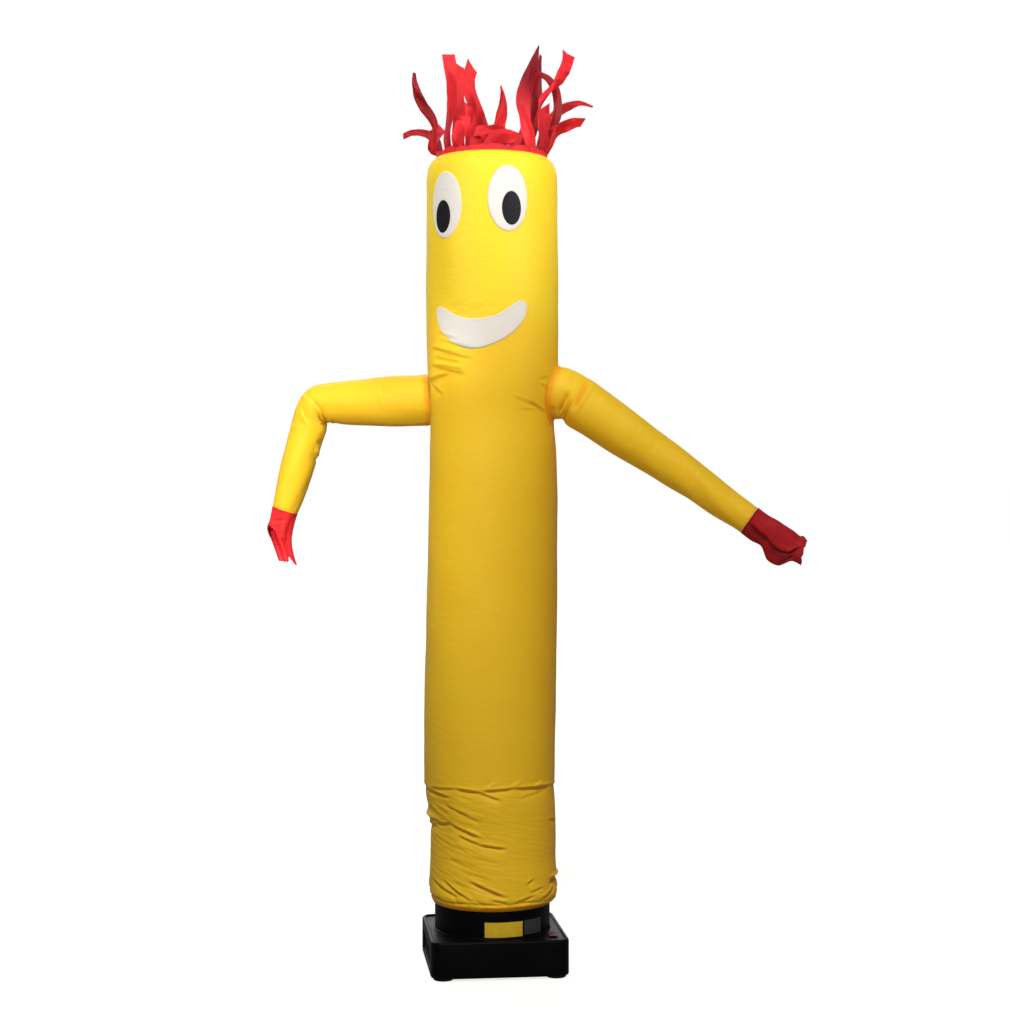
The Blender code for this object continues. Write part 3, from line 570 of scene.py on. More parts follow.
def eased(places, values, at):
    """The smooth curve through a table's values, with no overshoot between its rows."""
    places, values, at = (np.asarray(given, float) for given in (places, values, at))
    span = np.diff(places)
    slope = np.diff(values) / span
    tangent = np.concatenate([slope[:1], np.zeros(len(slope) - 1), slope[-1:]])
    before, after = slope[:-1], slope[1:]
    same_way = before * after > 0
    both = np.where(same_way, before + after, 1.0)
    tangent[1:-1] = np.where(same_way, 2 * before * after / both, 0.0)
    row = np.clip(np.searchsorted(places, at, side="right") - 1, 0, len(span) - 1)
    part = unit((at - places[row]) / span[row])
    rise = values[row + 1] - values[row]
    ends = (1 - part) * tangent[row] - part * tangent[row + 1]
    return values[row] + rise * part * part * (3 - 2 * part) + span[row] * part * (1 - part) * ends


def turned_by(degrees):
    """Degrees brought between -180 and 180."""
    return (degrees + 180.0) % 360.0 - 180.0


def pressed_by(folds, around, along, girth):
    """How far folds press the cloth in; around is in degrees, along and girth in metres."""
    total = np.zeros(np.broadcast(around, along).shape)
    for fold in folds:
        low, high = fold.from_high / 1000, fold.to_high / 1000
        run = math.radians(fold.to_deg - fold.from_deg) * girth, high - low
        length = math.hypot(*run)
        x = np.radians(turned_by(around - fold.from_deg)) * girth
        y = along - low
        share = (x * run[0] + y * run[1]) / length**2
        off = (run[0] * y - run[1] * x) / length
        width = np.where(off > 0, fold.above, fold.below) / 1000
        line = np.exp(0.2 - np.sqrt((off / width) ** 2 + 0.04))
        line -= 0.40 * np.exp(-((off / width - 2.4) ** 2) / 2.2) * (off > 0)
        ends = unit(np.minimum(share, 1 - share) / 0.32 + 0.2)
        total += fold.depth / 1000 * line * ends * ends * (3 - 2 * ends)
    return total


def gathered_by(seed, count, around, along, seam, tall, depth, width, girth, slant=0.3):
    """How far a row of small pleats off a seam press the cloth in; tall is signed, up or down."""
    dice = np.random.default_rng(seed)
    total = np.zeros(np.broadcast(around, along).shape)
    for spot in range(count):
        middle = (spot + dice.uniform(-0.45, 0.45)) * 360 / count
        reach = tall * dice.uniform(0.4, 1.0)
        size = depth * dice.uniform(-0.5, 1.0)
        lean = slant * dice.normal()
        up = (along - seam) / reach
        x = np.radians(turned_by(around - middle)) * girth - lean * (along - seam)
        fade = np.where(up > -0.05, np.exp(-((np.clip(up, 0, None) * 1.7) ** 2)), 0.0)
        total += size * hump(x, width * dice.uniform(0.7, 1.3)) * fade
    return total


def crumpled(seed, count, low, high, length, depth, slope=-0.12, reach=(-180, 180)):
    """Short random wrinkles, nearly level or sloping down to the right, as folds.

    Their heights and lengths are in millimetres, as a fold's are.
    """
    dice = np.random.default_rng(seed)
    made = []
    for _ in range(count):
        deg, at = dice.uniform(*reach), dice.uniform(low, high)
        long = length * dice.uniform(0.4, 1.0)
        rise = long * dice.normal(slope, 0.12)
        turn = math.degrees(long / 1000 / TUBE_GIRTH)
        size = depth * dice.uniform(-0.6, 1.0)
        made.append(Fold(deg, at, deg + turn, at + rise, size, 2.4, 4))
    return made


def drifting(seed, around, along, waves=12, quick=26.0):
    """A slow unevenness from -1 to 1, as air-filled cloth has."""
    dice = np.random.default_rng(seed)
    total = np.zeros(np.broadcast(around, along).shape)
    for _ in range(waves):
        turns = int(dice.integers(0, 7))
        rise = dice.uniform(4.0, quick)
        total += np.sin(turns * np.radians(around) + rise * along + dice.uniform(0, 6.3))
    return total / waves**0.5


TUBE_FOLDS = KNEE_FOLDS + HEM_FOLDS + CHEST_FOLDS + HEAD_FOLDS
TUBE_FOLDS += crumpled(5, 90, 470, 1900, 60, 0.45)
TUBE_FOLDS += crumpled(6, 60, 200, 430, 80, 1.5, -0.26, (-85, -15))
TUBE_FOLDS += crumpled(7, 60, 200, 430, 80, 1.3, 0.10, (95, 260))


def from_port(around, height, port_deg):
    """How far aside and how far up from the middle of a port, in metres."""
    return np.radians(turned_by(around - port_deg)) * TUBE_GIRTH, height - PORT_HEIGHT


def tube_relief(around, height):
    """How far in the tube's cloth lies from its round section, and how folded it is there."""
    turns = np.radians(around)
    pressed = pressed_by(TUBE_FOLDS, around, height, TUBE_GIRTH)
    pressed += gathered_by(11, 64, around, height, 0.168, 0.048, 0.0026, 0.0034, TUBE_GIRTH, 0.7)
    tie_at = HEM_TIE + 0.0016 * (np.sin(3 * turns + 1) + np.sin(7 * turns + 4))
    tie_deep = 0.0022 + 0.0009 * np.sin(11 * turns + 2)
    pressed += tie_deep * hump(height - tie_at, 0.0028)
    pressed -= 0.0012 * hump(height - 0.16, 0.005)
    pressed += gathered_by(12, 90, around, height, 1.928, -0.022, 0.0006, 0.003, TUBE_GIRTH, 0.2)
    for seed, port_deg in ((13, ARM_BENT_DEG), (14, ARM_STRAIGHT_DEG)):
        aside, up = from_port(around, height, port_deg)
        away, way = np.hypot(aside, up * 0.95), np.degrees(np.arctan2(up, aside / TUBE_GIRTH))
        pressed += gathered_by(seed, 22, way, away, 0.062, 0.05, 0.0022, 0.006, 0.062)
    slow = 0.0006 * drifting(21, around, height) + 0.0003 * drifting(22, around, height, 10, 90.0)
    free = unit((height - HEM_LOW) / 0.012) * unit((TUBE_TOP - height) / 0.012)
    # fold is the crease share that the colour shows as painted shade.
    fold = unit(pressed / 0.006 - 0.3) ** 1.5
    return (np.clip(pressed, -0.008, 0.012) + slow) * free, fold * free


def port_glow(around, height):
    """How strongly the cloth glows where light comes through the shoulder seams."""
    total = 0.0
    for port_deg in (ARM_BENT_DEG, ARM_STRAIGHT_DEG):
        total = total + 1.5 * hump(np.hypot(*from_port(around, height, port_deg)) - 0.068, 0.005)
    return total


def round_axis(around, reach, height, aside=0.0):
    """Places round the tube's axis, from degrees, reach and height."""
    turns = np.radians(around)
    x = TUBE_AXIS[0] + aside + reach * np.sin(turns)
    return points_of(x, TUBE_AXIS[1] - reach * np.cos(turns), height)


def tube_section(height):
    """How far aside the tube's section lies at a height, and how far it reaches."""
    heights, left, right = zip(*TUBE)
    left, right = eased(heights, left, height), eased(heights, right, height)
    return (right - left) / 2, (right + left) / 2


def tube_point(around, height, off):
    """Places on the tube's cloth, off it by a little, and how folded the cloth is there."""
    aside, reach = tube_section(height)
    press, fold = tube_relief(around, height)
    return round_axis(around, reach - press + off, height, aside), fold


def cloth(name, points, fold, weave, wall=0.0, closed=True, slack=None):
    """Cloth over a grid of points, with its weave map in metres and its painted shade in the fold
    layer.

    A wall gives it a second side and walled edges; without one it is a single skin.
    """
    rows, columns = points.shape[:2]
    spot = np.arange(columns if closed else columns - 1)
    low = np.arange(rows - 1)[:, None]

    def quads(width, beside):
        at, up = low * width, (low + 1) * width
        return points_of(at + spot, at + beside, up + beside, up + spot).reshape(-1, 4)

    cells = quads(columns, (spot + 1) % columns)
    maps = quads(weave.shape[1], spot + 1)
    spread = weave.reshape(-1, 2)
    faces, corners = cells, spread[maps]
    verts, folds = points.reshape(-1, 3), fold.reshape(-1)
    if wall:
        across = np.gradient(points, axis=1)
        if closed:
            across = np.roll(points, -1, 1) - np.roll(points, 1, 1)
        normal = np.cross(across, np.gradient(points, axis=0))
        normal /= np.maximum(np.linalg.norm(normal, axis=-1, keepdims=True), 1e-9)
        count = len(verts)
        verts = np.concatenate([verts, verts - normal.reshape(-1, 3) * wall])
        folds = np.concatenate([folds, folds])
        edges = np.concatenate([cells[:, [i, (i + 1) % 4]] for i in range(4)])
        uses = np.concatenate([maps[:, [i, (i + 1) % 4]] for i in range(4)])
        known = {(a, b) for a, b in edges.tolist()}
        free = [k for k, (a, b) in enumerate(edges.tolist()) if (b, a) not in known]
        rims = [[b, a, a + count, b + count] for a, b in edges[free].tolist()]
        rim_uses = [[b, a, a, b] for a, b in uses[free].tolist()]
        faces = np.concatenate([cells, cells[:, ::-1] + count, rims])
        corners = np.concatenate([corners, corners[:, ::-1], spread[rim_uses]])
    mesh = bpy.data.meshes.new(name)
    mesh.from_pydata(verts.tolist(), [], faces.tolist())
    mesh.uv_layers.new(name="weave").data.foreach_set("uv", corners.reshape(-1).astype("f4"))
    for layer, values in (("fold", folds), ("slack", slack)):
        if values is not None:
            spots = mesh.attributes.new(layer, "FLOAT", "POINT").data
            spots.foreach_set("value", values.reshape(-1).astype("f4"))
    return mesh


def nylon(name, color, deep, tone=0.0, weave=0.0009, gloss=0.46, shine=0.22, crush=1.0):
    """Coated nylon: a plain weave, small crumples, a soft sheen, and painted shade in its folds."""
    even = {"Sheen Weight": 0.02, "Sheen Roughness": 0.35, "Specular IOR Level": shine}
    paint = Paint(name, even)
    place = paint.where()
    threads = paint.node("ShaderNodeUVMap", {"uv_map": "weave"})
    across = paint.node("ShaderNodeSeparateXYZ", sockets={0: threads})
    along = across.other("Y")
    count = 2 * math.pi / weave
    warp, weft = (across * count).sine(), (along * count).sine()
    clouds = paint.noise(place, 7.0, 4.0, 0.6)
    crumple = paint.noise(place, 70.0, 3.0, 0.55)
    slope = {0: across * 17.0, 1: along * 95.0 + across * 22.0}
    crinkle = paint.noise(paint.node("ShaderNodeCombineXYZ", sockets=slope), 1.0, 3.0, 0.55)
    slack, folded = (
        paint.node("ShaderNodeAttribute", {"attribute_name": layer}, output="Fac")
        for layer in ("slack", "fold")
    )
    crinkles = crinkle * (0.0006 * crush + 0.0016 * slack)
    # Painted light: the fold attribute mixes in the deep colour as painted shade in creases and
    # painted glow at seams.
    share = tone + folded * 0.55 + (clouds - 0.5) * 0.35 + 0.05 * warp * weft
    rough = gloss + 0.16 * clouds + 0.05 * warp
    relief = 0.00002 * (warp * weft) + 0.0004 * crush * crumple + crinkles
    return paint.done(paint.tint(share, color, deep), rough, relief)


yellow_nylon = nylon("yellow_nylon", (0.87, 0.61, 0.022), (0.84, 0.30, 0.004), tone=0.25)


def thread(name, color, deep):
    """Polyester sewing thread: its plies show as a fine ripple."""
    paint = Paint(name, {"Sheen Weight": 0.1, "Specular IOR Level": 0.3})
    plies = paint.noise(paint.where(), 1600.0, 1.0)
    tone = paint.noise(paint.where(), 40.0, 2.0)
    return paint.done(paint.tint(tone, color, deep), 0.45 + 0.2 * plies, 0.0002 * plies)


def stitch_tree():
    """Lays a short length of thread at every pitch along the edges it is given."""
    tree = bpy.data.node_groups.new("stitches", "GeometryNodeTree")
    sockets = {"Seams": "Geometry", "Pitch": "Float", "Stitch": "Float", "Thickness": "Float"}
    for name, kind in (sockets | {"Thread": "Material"}).items():
        tree.interface.new_socket(name, in_out="INPUT", socket_type=f"NodeSocket{kind}")
    tree.interface.new_socket("Stitches", in_out="OUTPUT", socket_type="NodeSocketGeometry")
    making = Wiring(tree)

    def step(kind, sockets, settings=None):
        return making.node(f"GeometryNode{kind}", settings, sockets)

    given = making.node("NodeGroupInput")
    seam = step("MeshToCurve", {"Mesh": given})
    spaced = {"Curve": seam, "Length": given.other("Pitch")}
    spots = step("CurveToPoints", spaced, {"mode": "LENGTH"})
    bead = step("MeshUVSphere", {"Segments": 5, "Rings": 4, "Radius": 0.5})
    thick = given.other("Thickness")
    size = making.node("ShaderNodeCombineXYZ", None, {0: thick, 1: thick, 2: given.other("Stitch")})
    laid = {"Points": spots, "Instance": bead, "Rotation": spots.other("Rotation"), "Scale": size}
    solid = step("RealizeInstances", {0: step("InstanceOnPoints", laid)})
    sewn = step("SetMaterial", {"Geometry": solid, "Material": given.other("Thread")})
    making.feed(tree.nodes.new("NodeGroupOutput"), {0: sewn})
    return tree


stitches = stitch_tree()


def stitched(name, seams, material, pitch=0.0036, stitch=0.0027, thickness=0.0009):
    """Sews along seams, each a run of points and whether it closes."""
    verts, edges = [], []
    for points, closes in seams:
        first, count = len(verts), len(points)
        verts += [tuple(point) for point in points]
        edges += [(first + i, first + (i + 1) % count) for i in range(count - (not closes))]
    mesh = bpy.data.meshes.new(name)
    mesh.from_pydata(verts, edges, [])
    piece = put(name, mesh)
    sewing = piece.modifiers.new("sewing", "NODES")
    sewing.node_group = stitches
    sizes = {"Pitch": pitch, "Stitch": stitch, "Thickness": thickness, "Thread": material}
    for socket in stitches.interface.items_tree:
        if socket.name in sizes:
            sewing[socket.identifier] = sizes[socket.name]
    set_fast(piece)
    piece.data.shade_smooth()
    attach(piece, "dancer")
    return piece


def round_turns(count, start=0, closing=False):
    """Degrees once round from a start, without the last unless the round is to close."""
    return np.linspace(start, start + 360, count + closing, endpoint=closing)


def round_weave(columns, girth, along, start=0):
    """The weave map of cloth that goes once round."""
    return points_of(np.radians(round_turns(columns, start, True))[None, :] * girth, along)


yellow_thread = thread("yellow_thread", (0.80, 0.42, 0.010), (0.62, 0.26, 0.006))
TUBE_COLUMNS = 240
HEAD_LOW = 1.50
spans = ((HEM_LOW, 0.460, 180), (0.460, 1.270, 54), (1.270, 1.530, 86), (1.530, 1.900, 47))
tube_heights = [np.linspace(low, top, count, endpoint=False) for low, top, count in spans]
tube_heights = np.concatenate([*tube_heights, np.linspace(1.900, TUBE_TOP, 14)])
turned_in = [(0.180, -0.0016), (0.170, -0.0014), (0.160, -0.0013), (0.1545, -0.0012)]
turned_in += [(0.1525, -0.0006)]
tucked_in = [(1.9395, -0.0008), (1.9385, -0.0024), (1.9340, -0.0110)]
tube_rows = turned_in + [(height, 0.0) for height in tube_heights] + tucked_in
row_heights, row_offs = np.array(tube_rows).T[..., None]
tube_turns = round_turns(TUBE_COLUMNS, -180)[None, :]
tube_points, tube_painted_light = tube_point(tube_turns, row_heights, row_offs)
hem_line = 0.0012 * np.sin(5 * np.radians(tube_turns)) - 0.0008
# Painted light: glow at the hem and shoulder seams, a lighter head as if sunlit, painted shade on
# the right flank.
hem_glow = 1.3 * np.exp(-(((row_heights - 0.1590 - hem_line) / 0.0060) ** 4))
sunlit = 0.45 * unit((row_heights - HEAD_LOW) / 0.08)
shady_side = 0.42 * hump(turned_by(tube_turns - 82), 34) * unit((HEAD_LOW - row_heights) / 0.10)
tube_painted_light = tube_painted_light * 0.8 + hem_glow + port_glow(tube_turns, row_heights) + shady_side - sunlit
slack = np.clip((0.450 - row_heights) / 0.02, 0.12, 1)
slack = slack * np.clip(0.55 + 0.45 * np.cos(np.radians(tube_turns + 60)), 0.2, 1)
row_steps = np.linalg.norm(np.diff(tube_points[:, 60], axis=0), axis=-1)
row_along = np.concatenate([[0], np.cumsum(row_steps)])
tube_weave = round_weave(TUBE_COLUMNS, TUBE_GIRTH, row_along[:, None], -180)
tube_mesh = cloth("tube", tube_points, tube_painted_light, tube_weave, slack=slack)
tube = fit("tube", tube_mesh, yellow_nylon, stands_for=["body_tube"])
seam_turns = round_turns(480, -180)
seam_heights = np.linspace(0.174, 1.924, 700)
tube_seams = [(tube_point(seam_turns, h, 0.0003)[0], True) for h in (0.1585, 0.1640, 1.9255)]
for beside in (-1.2, 1.2):
    tube_seams.append((tube_point(SEAM_DEG + beside, seam_heights, 0.0003)[0], False))
tube_stitches = stitched("tube_stitches", tube_seams, yellow_thread)

# ---- Crown panel ----
# A disc of the same yellow nylon closes the tube. The air domes it a little, and the ring of
# stitches that holds it puckers its edge.
CROWN_RADIUS = 0.1313
CROWN_GATHER = 0.13
CROWN_DOME = ((0.0, 1.945), (0.5, 1.942), (0.85, 1.934), (1.0, 1.928))
POLE = 2e-6

crown_turns = round_turns(96)[None, :]
crown_shares = np.linspace(1, 0, 20)[:, None]
crown_run = crown_shares * CROWN_GATHER
pleats = (CROWN_GATHER, -0.05, 0.0016, 0.004, CROWN_GATHER, 0.25)
crown_pucker = gathered_by(31, 60, crown_turns, crown_run, *pleats)
crown_heights = eased(*zip(*CROWN_DOME), crown_shares) - crown_pucker * crown_shares
crown_points = round_axis(crown_turns, CROWN_RADIUS * crown_shares, crown_heights)
crown_weave = np.concatenate([crown_points, crown_points[:, :1]], 1)[..., :2]
# The puckers' depth goes into the colour as painted shade.
crown_mesh = cloth("crown", crown_points, crown_pucker / 0.004, crown_weave, wall=0.0010)
crown = fit("crown", outward(crown_mesh, POLE), yellow_nylon, stands_for=["crown_panel"])

# ---- Sleeves ----
# The arms are tapered sleeves of the yellow nylon, each sewn round a port in the tube so that the
# air fills it. One runs level and droops from the elbow; the other slopes down nearly straight.
# The cloth puckers at the shoulder and wrist seams and buckles inside the elbow.
SEAT = 0.0009
SLEEVE_GIRTH = 0.05

Sleeve = namedtuple("Sleeve", "out height lean tall deep")
SLEEVE_BENT = table(
    Sleeve,
    (0.16, 1.362, 0, 0.064, 0.062),
    (0.18, 1.361, 0, 0.0625, 0.061),
    (0.241, 1.36, 0, 0.062, 0.06),
    (0.317, 1.3585, 1, 0.058, 0.057),
    (0.385, 1.3575, 4, 0.0525, 0.052),
    (0.434, 1.357, 15, 0.0485, 0.049),
    (0.45, 1.349, 31, 0.0475, 0.049),
    (0.461, 1.33, 50, 0.0455, 0.046),
    (0.468, 1.303, 67, 0.0445, 0.044),
    (0.48, 1.267, 73, 0.043, 0.043),
    (0.49, 1.236, 73, 0.0415, 0.042),
    (0.502, 1.195, 73, 0.041, 0.041),
    (0.518, 1.142, 72, 0.0375, 0.0375),
    (0.5325, 1.0945, 71, 0.032, 0.032),
)
SLEEVE_STRAIGHT = table(
    Sleeve,
    (0.16, 1.376, 3, 0.067, 0.064),
    (0.181, 1.373, 10, 0.061, 0.06),
    (0.201, 1.362, 24, 0.0585, 0.059),
    (0.224, 1.344, 37, 0.061, 0.06),
    (0.267, 1.315, 34, 0.059, 0.059),
    (0.325, 1.274, 33, 0.0555, 0.056),
    (0.378, 1.238, 33, 0.0515, 0.052),
    (0.449, 1.19, 33, 0.047, 0.047),
    (0.508, 1.148, 33, 0.0425, 0.043),
    (0.561, 1.109, 33, 0.0385, 0.0385),
    (0.6175, 1.0705, 35, 0.0355, 0.035),
)
# On a sleeve a fold's degrees run round it from its upper or outer edge, and its heights run along
# it from the shoulder.
BENT_FOLDS = table(
    Fold,
    (24, 296, 90, 278, 4, 2.6, 7),
    (84, 283, 124, 255, 6.5, 2.6, 7),
    (112, 262, 176, 268, 7.5),
    (170, 270, 236, 258, 7.5),
    (128, 290, 200, 296, 5.6),
    (150, 312, 214, 304, 4.4),
    (66, 308, 106, 331, 3.5, 2.6, 6),
    (28, 349, 96, 346, 2, 2.6, 6),
    (62, 339, 100, 341, 2, 2.6, 5),
    (140, 236, 190, 244, 3.2),
    (36, 96, 84, 85, 2.2, 2.6, 7),
    (82, 85, 130, 101, 2.2, 2.6, 7),
    (60, 110, 110, 100, -1.4, 6, 6),
    (158, 391, 198, 410, -4.5, 7, 7),
    (150, 374, 200, 380, 3),
    (176, 426, 220, 420, 2.8),
    (20, 205, 66, 197, 1.2, 2.6, 7),
    (200, 330, 262, 322, 3.2, 3, 7),
    (230, 100, 290, 88, 2.2, 3, 7),
)
STRAIGHT_FOLDS = table(
    Fold,
    (-112, 67, -26, 57, 9, 3, 9),
    (-146, 18, -84, 37, 8, 3, 8),
    (-140, 52, -96, 50, 5, 2.6, 6),
    (-176, 46, -132, 52, 5.1),
    (-60, 30, -26, 34, 3, 2.6, 6),
    (-110, 230, -42, 214, 2.8, 2.6, 7),
    (-88, 112, -44, 98, 1.7, 3, 7),
    (-100, 395, -52, 386, 1.4, 3, 7),
    (-90, 280, -60, 268, 1.4, 3, 7),
    (60, 70, 130, 60, 4.8, 3, 7),
    (90, 236, 150, 222, 2.7, 3, 7),
)


def outwards_at(arm_deg):
    angle = math.radians(arm_deg)
    return np.array([math.sin(angle), -math.cos(angle), 0.0])


def sleeve_points(sections, arm_deg, places, turns, swell):
    """Points round a sleeve; places count its table's rows and swell is off the sections."""
    rows = range(len(sections))
    out, height, lean, tall, deep = (eased(rows, column, places) for column in zip(*sections))
    lean, turns = np.radians(lean), np.radians(turns)
    outwards = outwards_at(arm_deg)
    across = np.array([-outwards[1], outwards[0], 0.0])
    level = np.array([0.0, 0.0, 1.0])
    upright = outwards * np.sin(lean)[..., None] + level * np.cos(lean)[..., None]
    middle = outwards * out[..., None] + level * height[..., None]
    up = ((tall + swell) * np.cos(turns))[..., None]
    aside = ((deep + swell) * np.sin(turns))[..., None]
    return middle + upright * up + across * aside + np.array([*TUBE_AXIS, 0.0])


def seated(points, arm_deg, places):
    """Slides a sleeve's first stretch along it until its edge lies on the tube all round."""
    outwards, edge = outwards_at(arm_deg), points[0]
    low, high = np.full(len(edge), -0.12), np.full(len(edge), 0.06)
    for _ in range(26):
        middle = (low + high) / 2
        tried = edge + outwards * middle[:, None]
        aside, reach = tube_section(tried[:, 2])
        x, y = tried[:, 0] - TUBE_AXIS[0] - aside, tried[:, 1] - TUBE_AXIS[1]
        within = np.hypot(x, y) < reach + SEAT
        low, high = np.where(within, middle, low), np.where(within, high, middle)
    return points + outwards * high[None, :, None] * unit(1 - places)[..., None]


def sew_sleeve(name, stands_for, sections, arm_deg, folds, seed, wide, columns=128, rows=220):
    """A sleeve sewn to its port by two rows of stitches, with one row more at the wrist."""
    centre = [(row.out, row.height) for row in sections]
    steps = [math.dist(a, b) for a, b in zip(centre, centre[1:])]
    run = np.concatenate([[0], np.cumsum(steps)])
    length = float(run[-1])

    def surface(along, turns, off):
        along, turns = np.broadcast_arrays(along, turns)
        places = np.interp(along, run, range(len(sections)))
        press = pressed_by(folds, turns, along, SLEEVE_GIRTH)
        press += gathered_by(seed, 46, turns, along, 0.0, 0.034, 0.0018, 0.0035, 0.062)
        press += gathered_by(seed + 1, 30, turns, along, length, -0.040, 0.0020, 0.0030, 0.035)
        press += 0.0035 * hump(along - 0.004, 0.005)
        slow = 0.0007 * drifting(seed + 2, turns, along, 12, 60.0)
        free = unit(along / 0.006) * np.clip((length - along) / 0.004, 0.15, 1)
        swell = off - (np.clip(press, -0.005, 0.010) - slow) * free
        points = sleeve_points(sections, arm_deg, places, turns, swell)
        return seated(points, arm_deg, places), unit(press / 0.005 - 0.3) ** 1.5

    along = np.linspace(0, length, rows)[:, None]
    points, fold = surface(along, round_turns(columns)[None, :], 0.0)
    # Painted light: creases get painted shade, and the shoulder and wrist seams a painted glow.
    glow = 1.1 * hump(along, 0.006) + 0.35 * hump(length - along, 0.005)
    weave = round_weave(columns, SLEEVE_GIRTH, along)
    mesh = cloth(name, points, fold * 0.8 + glow, weave, slack=0.25 + 0 * fold)
    across = np.roll(points, -1, 1) - points
    normal = np.cross(across[:-1], np.diff(points, axis=0))
    if (normal * (points - points.mean(1, keepdims=True))[:-1]).sum() < 0:
        mesh.flip_normals()
    sleeve = fit(name, mesh, yellow_nylon, stands_for=[stands_for])
    turns = round_turns(180)[None, :]
    places = (0.0075, 0.0120, length - 0.004)
    seams = [(surface(np.array([[place]]), turns, 0.0003)[0][0], True) for place in places]
    stitched(f"{name}_stitches", seams, yellow_thread)


bent = (SLEEVE_BENT, ARM_BENT_DEG, BENT_FOLDS)
straight = (SLEEVE_STRAIGHT, ARM_STRAIGHT_DEG, STRAIGHT_FOLDS)
sew_sleeve("sleeve_bent", "arm_bent", *bent, seed=41, wide=0.41)
sew_sleeve("sleeve_straight", "arm_straight", *straight, seed=51, wide=0.42)

# ---- Hands ----
# Each hand is an open cuff of two red nylon panels seamed at the sides and sewn to the wrist. The
# air that leaves through it flattens it and flaps its ragged cut end.
HAND_GIRTH = 0.034
HAND_STEP = 0.028
HAND_BENT = table(
    Sleeve,
    (0.5326, 1.0941, 71, 0.032, 0.0315),
    (0.541, 1.065, 78, 0.0305, 0.027),
    (0.549, 1.035, 67, 0.033, 0.023),
    (0.54, 1.002, 72, 0.0255, 0.017),
    (0.525, 0.959, 76, 0.0225, 0.012),
)
HAND_STRAIGHT = table(
    Sleeve,
    (0.6178, 1.0702, 35, 0.0355, 0.035),
    (0.643, 1.051, 34, 0.036, 0.031),
    (0.667, 1.0375, 40, 0.036, 0.027),
    (0.69, 1.01, 40, 0.045, 0.023),
    (0.712, 0.997, 36, 0.04, 0.02),
    (0.729, 1.002, 24, 0.03, 0.017),
    (0.7475, 0.9905, 12, 0.0285, 0.015),
)
BENT_HAND_FOLDS = table(Fold, (60, 30, 130, 20, 1.6, 4, 5), (200, 60, 290, 80, 2, 4, 5))
STRAIGHT_HAND_FOLDS = table(
    Fold,
    (-84, 150, -118, 60, 6, 3, 8),
    (-118, 64, -98, 2, 5, 3, 8),
    (-150, 100, -128, 140, 4),
    (60, 40, 110, 130, 4),
)
red_nylon = nylon("red_nylon", (0.80, 0.024, 0.031), (0.18, 0.001, 0.005), shine=0.18, crush=1.4)


def bent_hand_cut(turns):
    """The front panel ends on a slant near the wrist, the back one hangs on to full length."""
    front = np.clip(np.sin(turns), 0, None)
    slant = 0.46 - 0.12 * np.cos(turns)
    notch = 0.10 * hump(np.cos(turns) + 0.25, 0.28) * (np.sin(turns) < 0)
    ragged = 0.008 * np.sin(13 * turns + 1)
    return (1 - (1 - slant) * np.minimum(1.0, 1.6 * front)) * (0.985 - notch + ragged)


def straight_hand_cut(turns):
    """The free edge dips a little halfway down the front and the back."""
    return 0.985 - 0.02 * np.sin(turns) ** 2 + 0.010 * np.sin(8 * turns + 2)


def facing_out(mesh):
    """Turns a mesh's faces round if they look inwards, judged by the room they enclose."""
    work = bmesh.new()
    work.from_mesh(mesh)
    room = work.calc_volume(signed=True)
    work.free()
    if room < 0:
        mesh.flip_normals()
    return mesh


def sew_hand(name, sections, arm_deg, cut, folds, seed, shade=0.0, rows=56, columns=96):
    """A hand's mesh, its free end cut off at a share of its length that goes by the turn."""
    turns = round_turns(columns)[None, :]
    share = np.linspace(0, 1, rows)[:, None]
    places = share * cut(np.radians(turns)) * (len(sections) - 1)
    along = places * HAND_STEP
    dice = np.random.default_rng(seed)
    flap = np.zeros_like(places)
    for _ in range(7):
        beats = int(dice.integers(2, 7)) * np.radians(turns)
        flap += np.sin(beats + dice.uniform(0, 6.3) + along * dice.uniform(-30, 30))
    pleats = gathered_by(seed + 1, 26, turns, along, 0.0, 0.045, 0.0018, 0.0024, HAND_GIRTH)
    press = pressed_by(folds, turns, along, HAND_GIRTH) + pleats * unit(share * 8)
    swell = 0.0008 * flap * unit(share * 1.6) - np.clip(press, -0.004, 0.006)
    points = sleeve_points(sections, arm_deg, places, turns, swell)
    weave = round_weave(columns, HAND_GIRTH, np.pad(along, ((0, 0), (0, 1)), "wrap"))
    # Painted light: a painted glow at the wrist seam, and shade as painted shade over the whole
    # hand.
    glow = 0.5 * hump(along, 0.004) + shade
    return facing_out(cloth(name, points, unit(press / 0.004) + glow, weave, wall=0.0008))


bent = (HAND_BENT, ARM_BENT_DEG, bent_hand_cut, BENT_HAND_FOLDS)
bent_mesh = sew_hand("hand_bent_cuff", *bent, seed=61)
hand_bent = fit("hand_bent_cuff", bent_mesh, red_nylon, stands_for=["hand_bent"])
straight = (HAND_STRAIGHT, ARM_STRAIGHT_DEG, straight_hand_cut, STRAIGHT_HAND_FOLDS)
# The straight hand's colour is darkened all over as painted shade.
straight_mesh = sew_hand("hand_straight_cuff", *straight, seed=71, shade=1.2)
hand_straight = fit("hand_straight_cuff", straight_mesh, red_nylon, stands_for=["hand_straight"])

# ---- Hair ----
# One length of red nylon is cut into strips and its uncut edge is sewn round the inside of the top
# ring as a band. The air that leaks past flings the strips up, twists them and turns their ends.
HAIR_RADIUS = 0.1325
HAIR_BAND_LOW = 1.921
HAIR_BAND_TOP = 1.952
HAIR_STEPS = 8
HAIR_FINE = 7

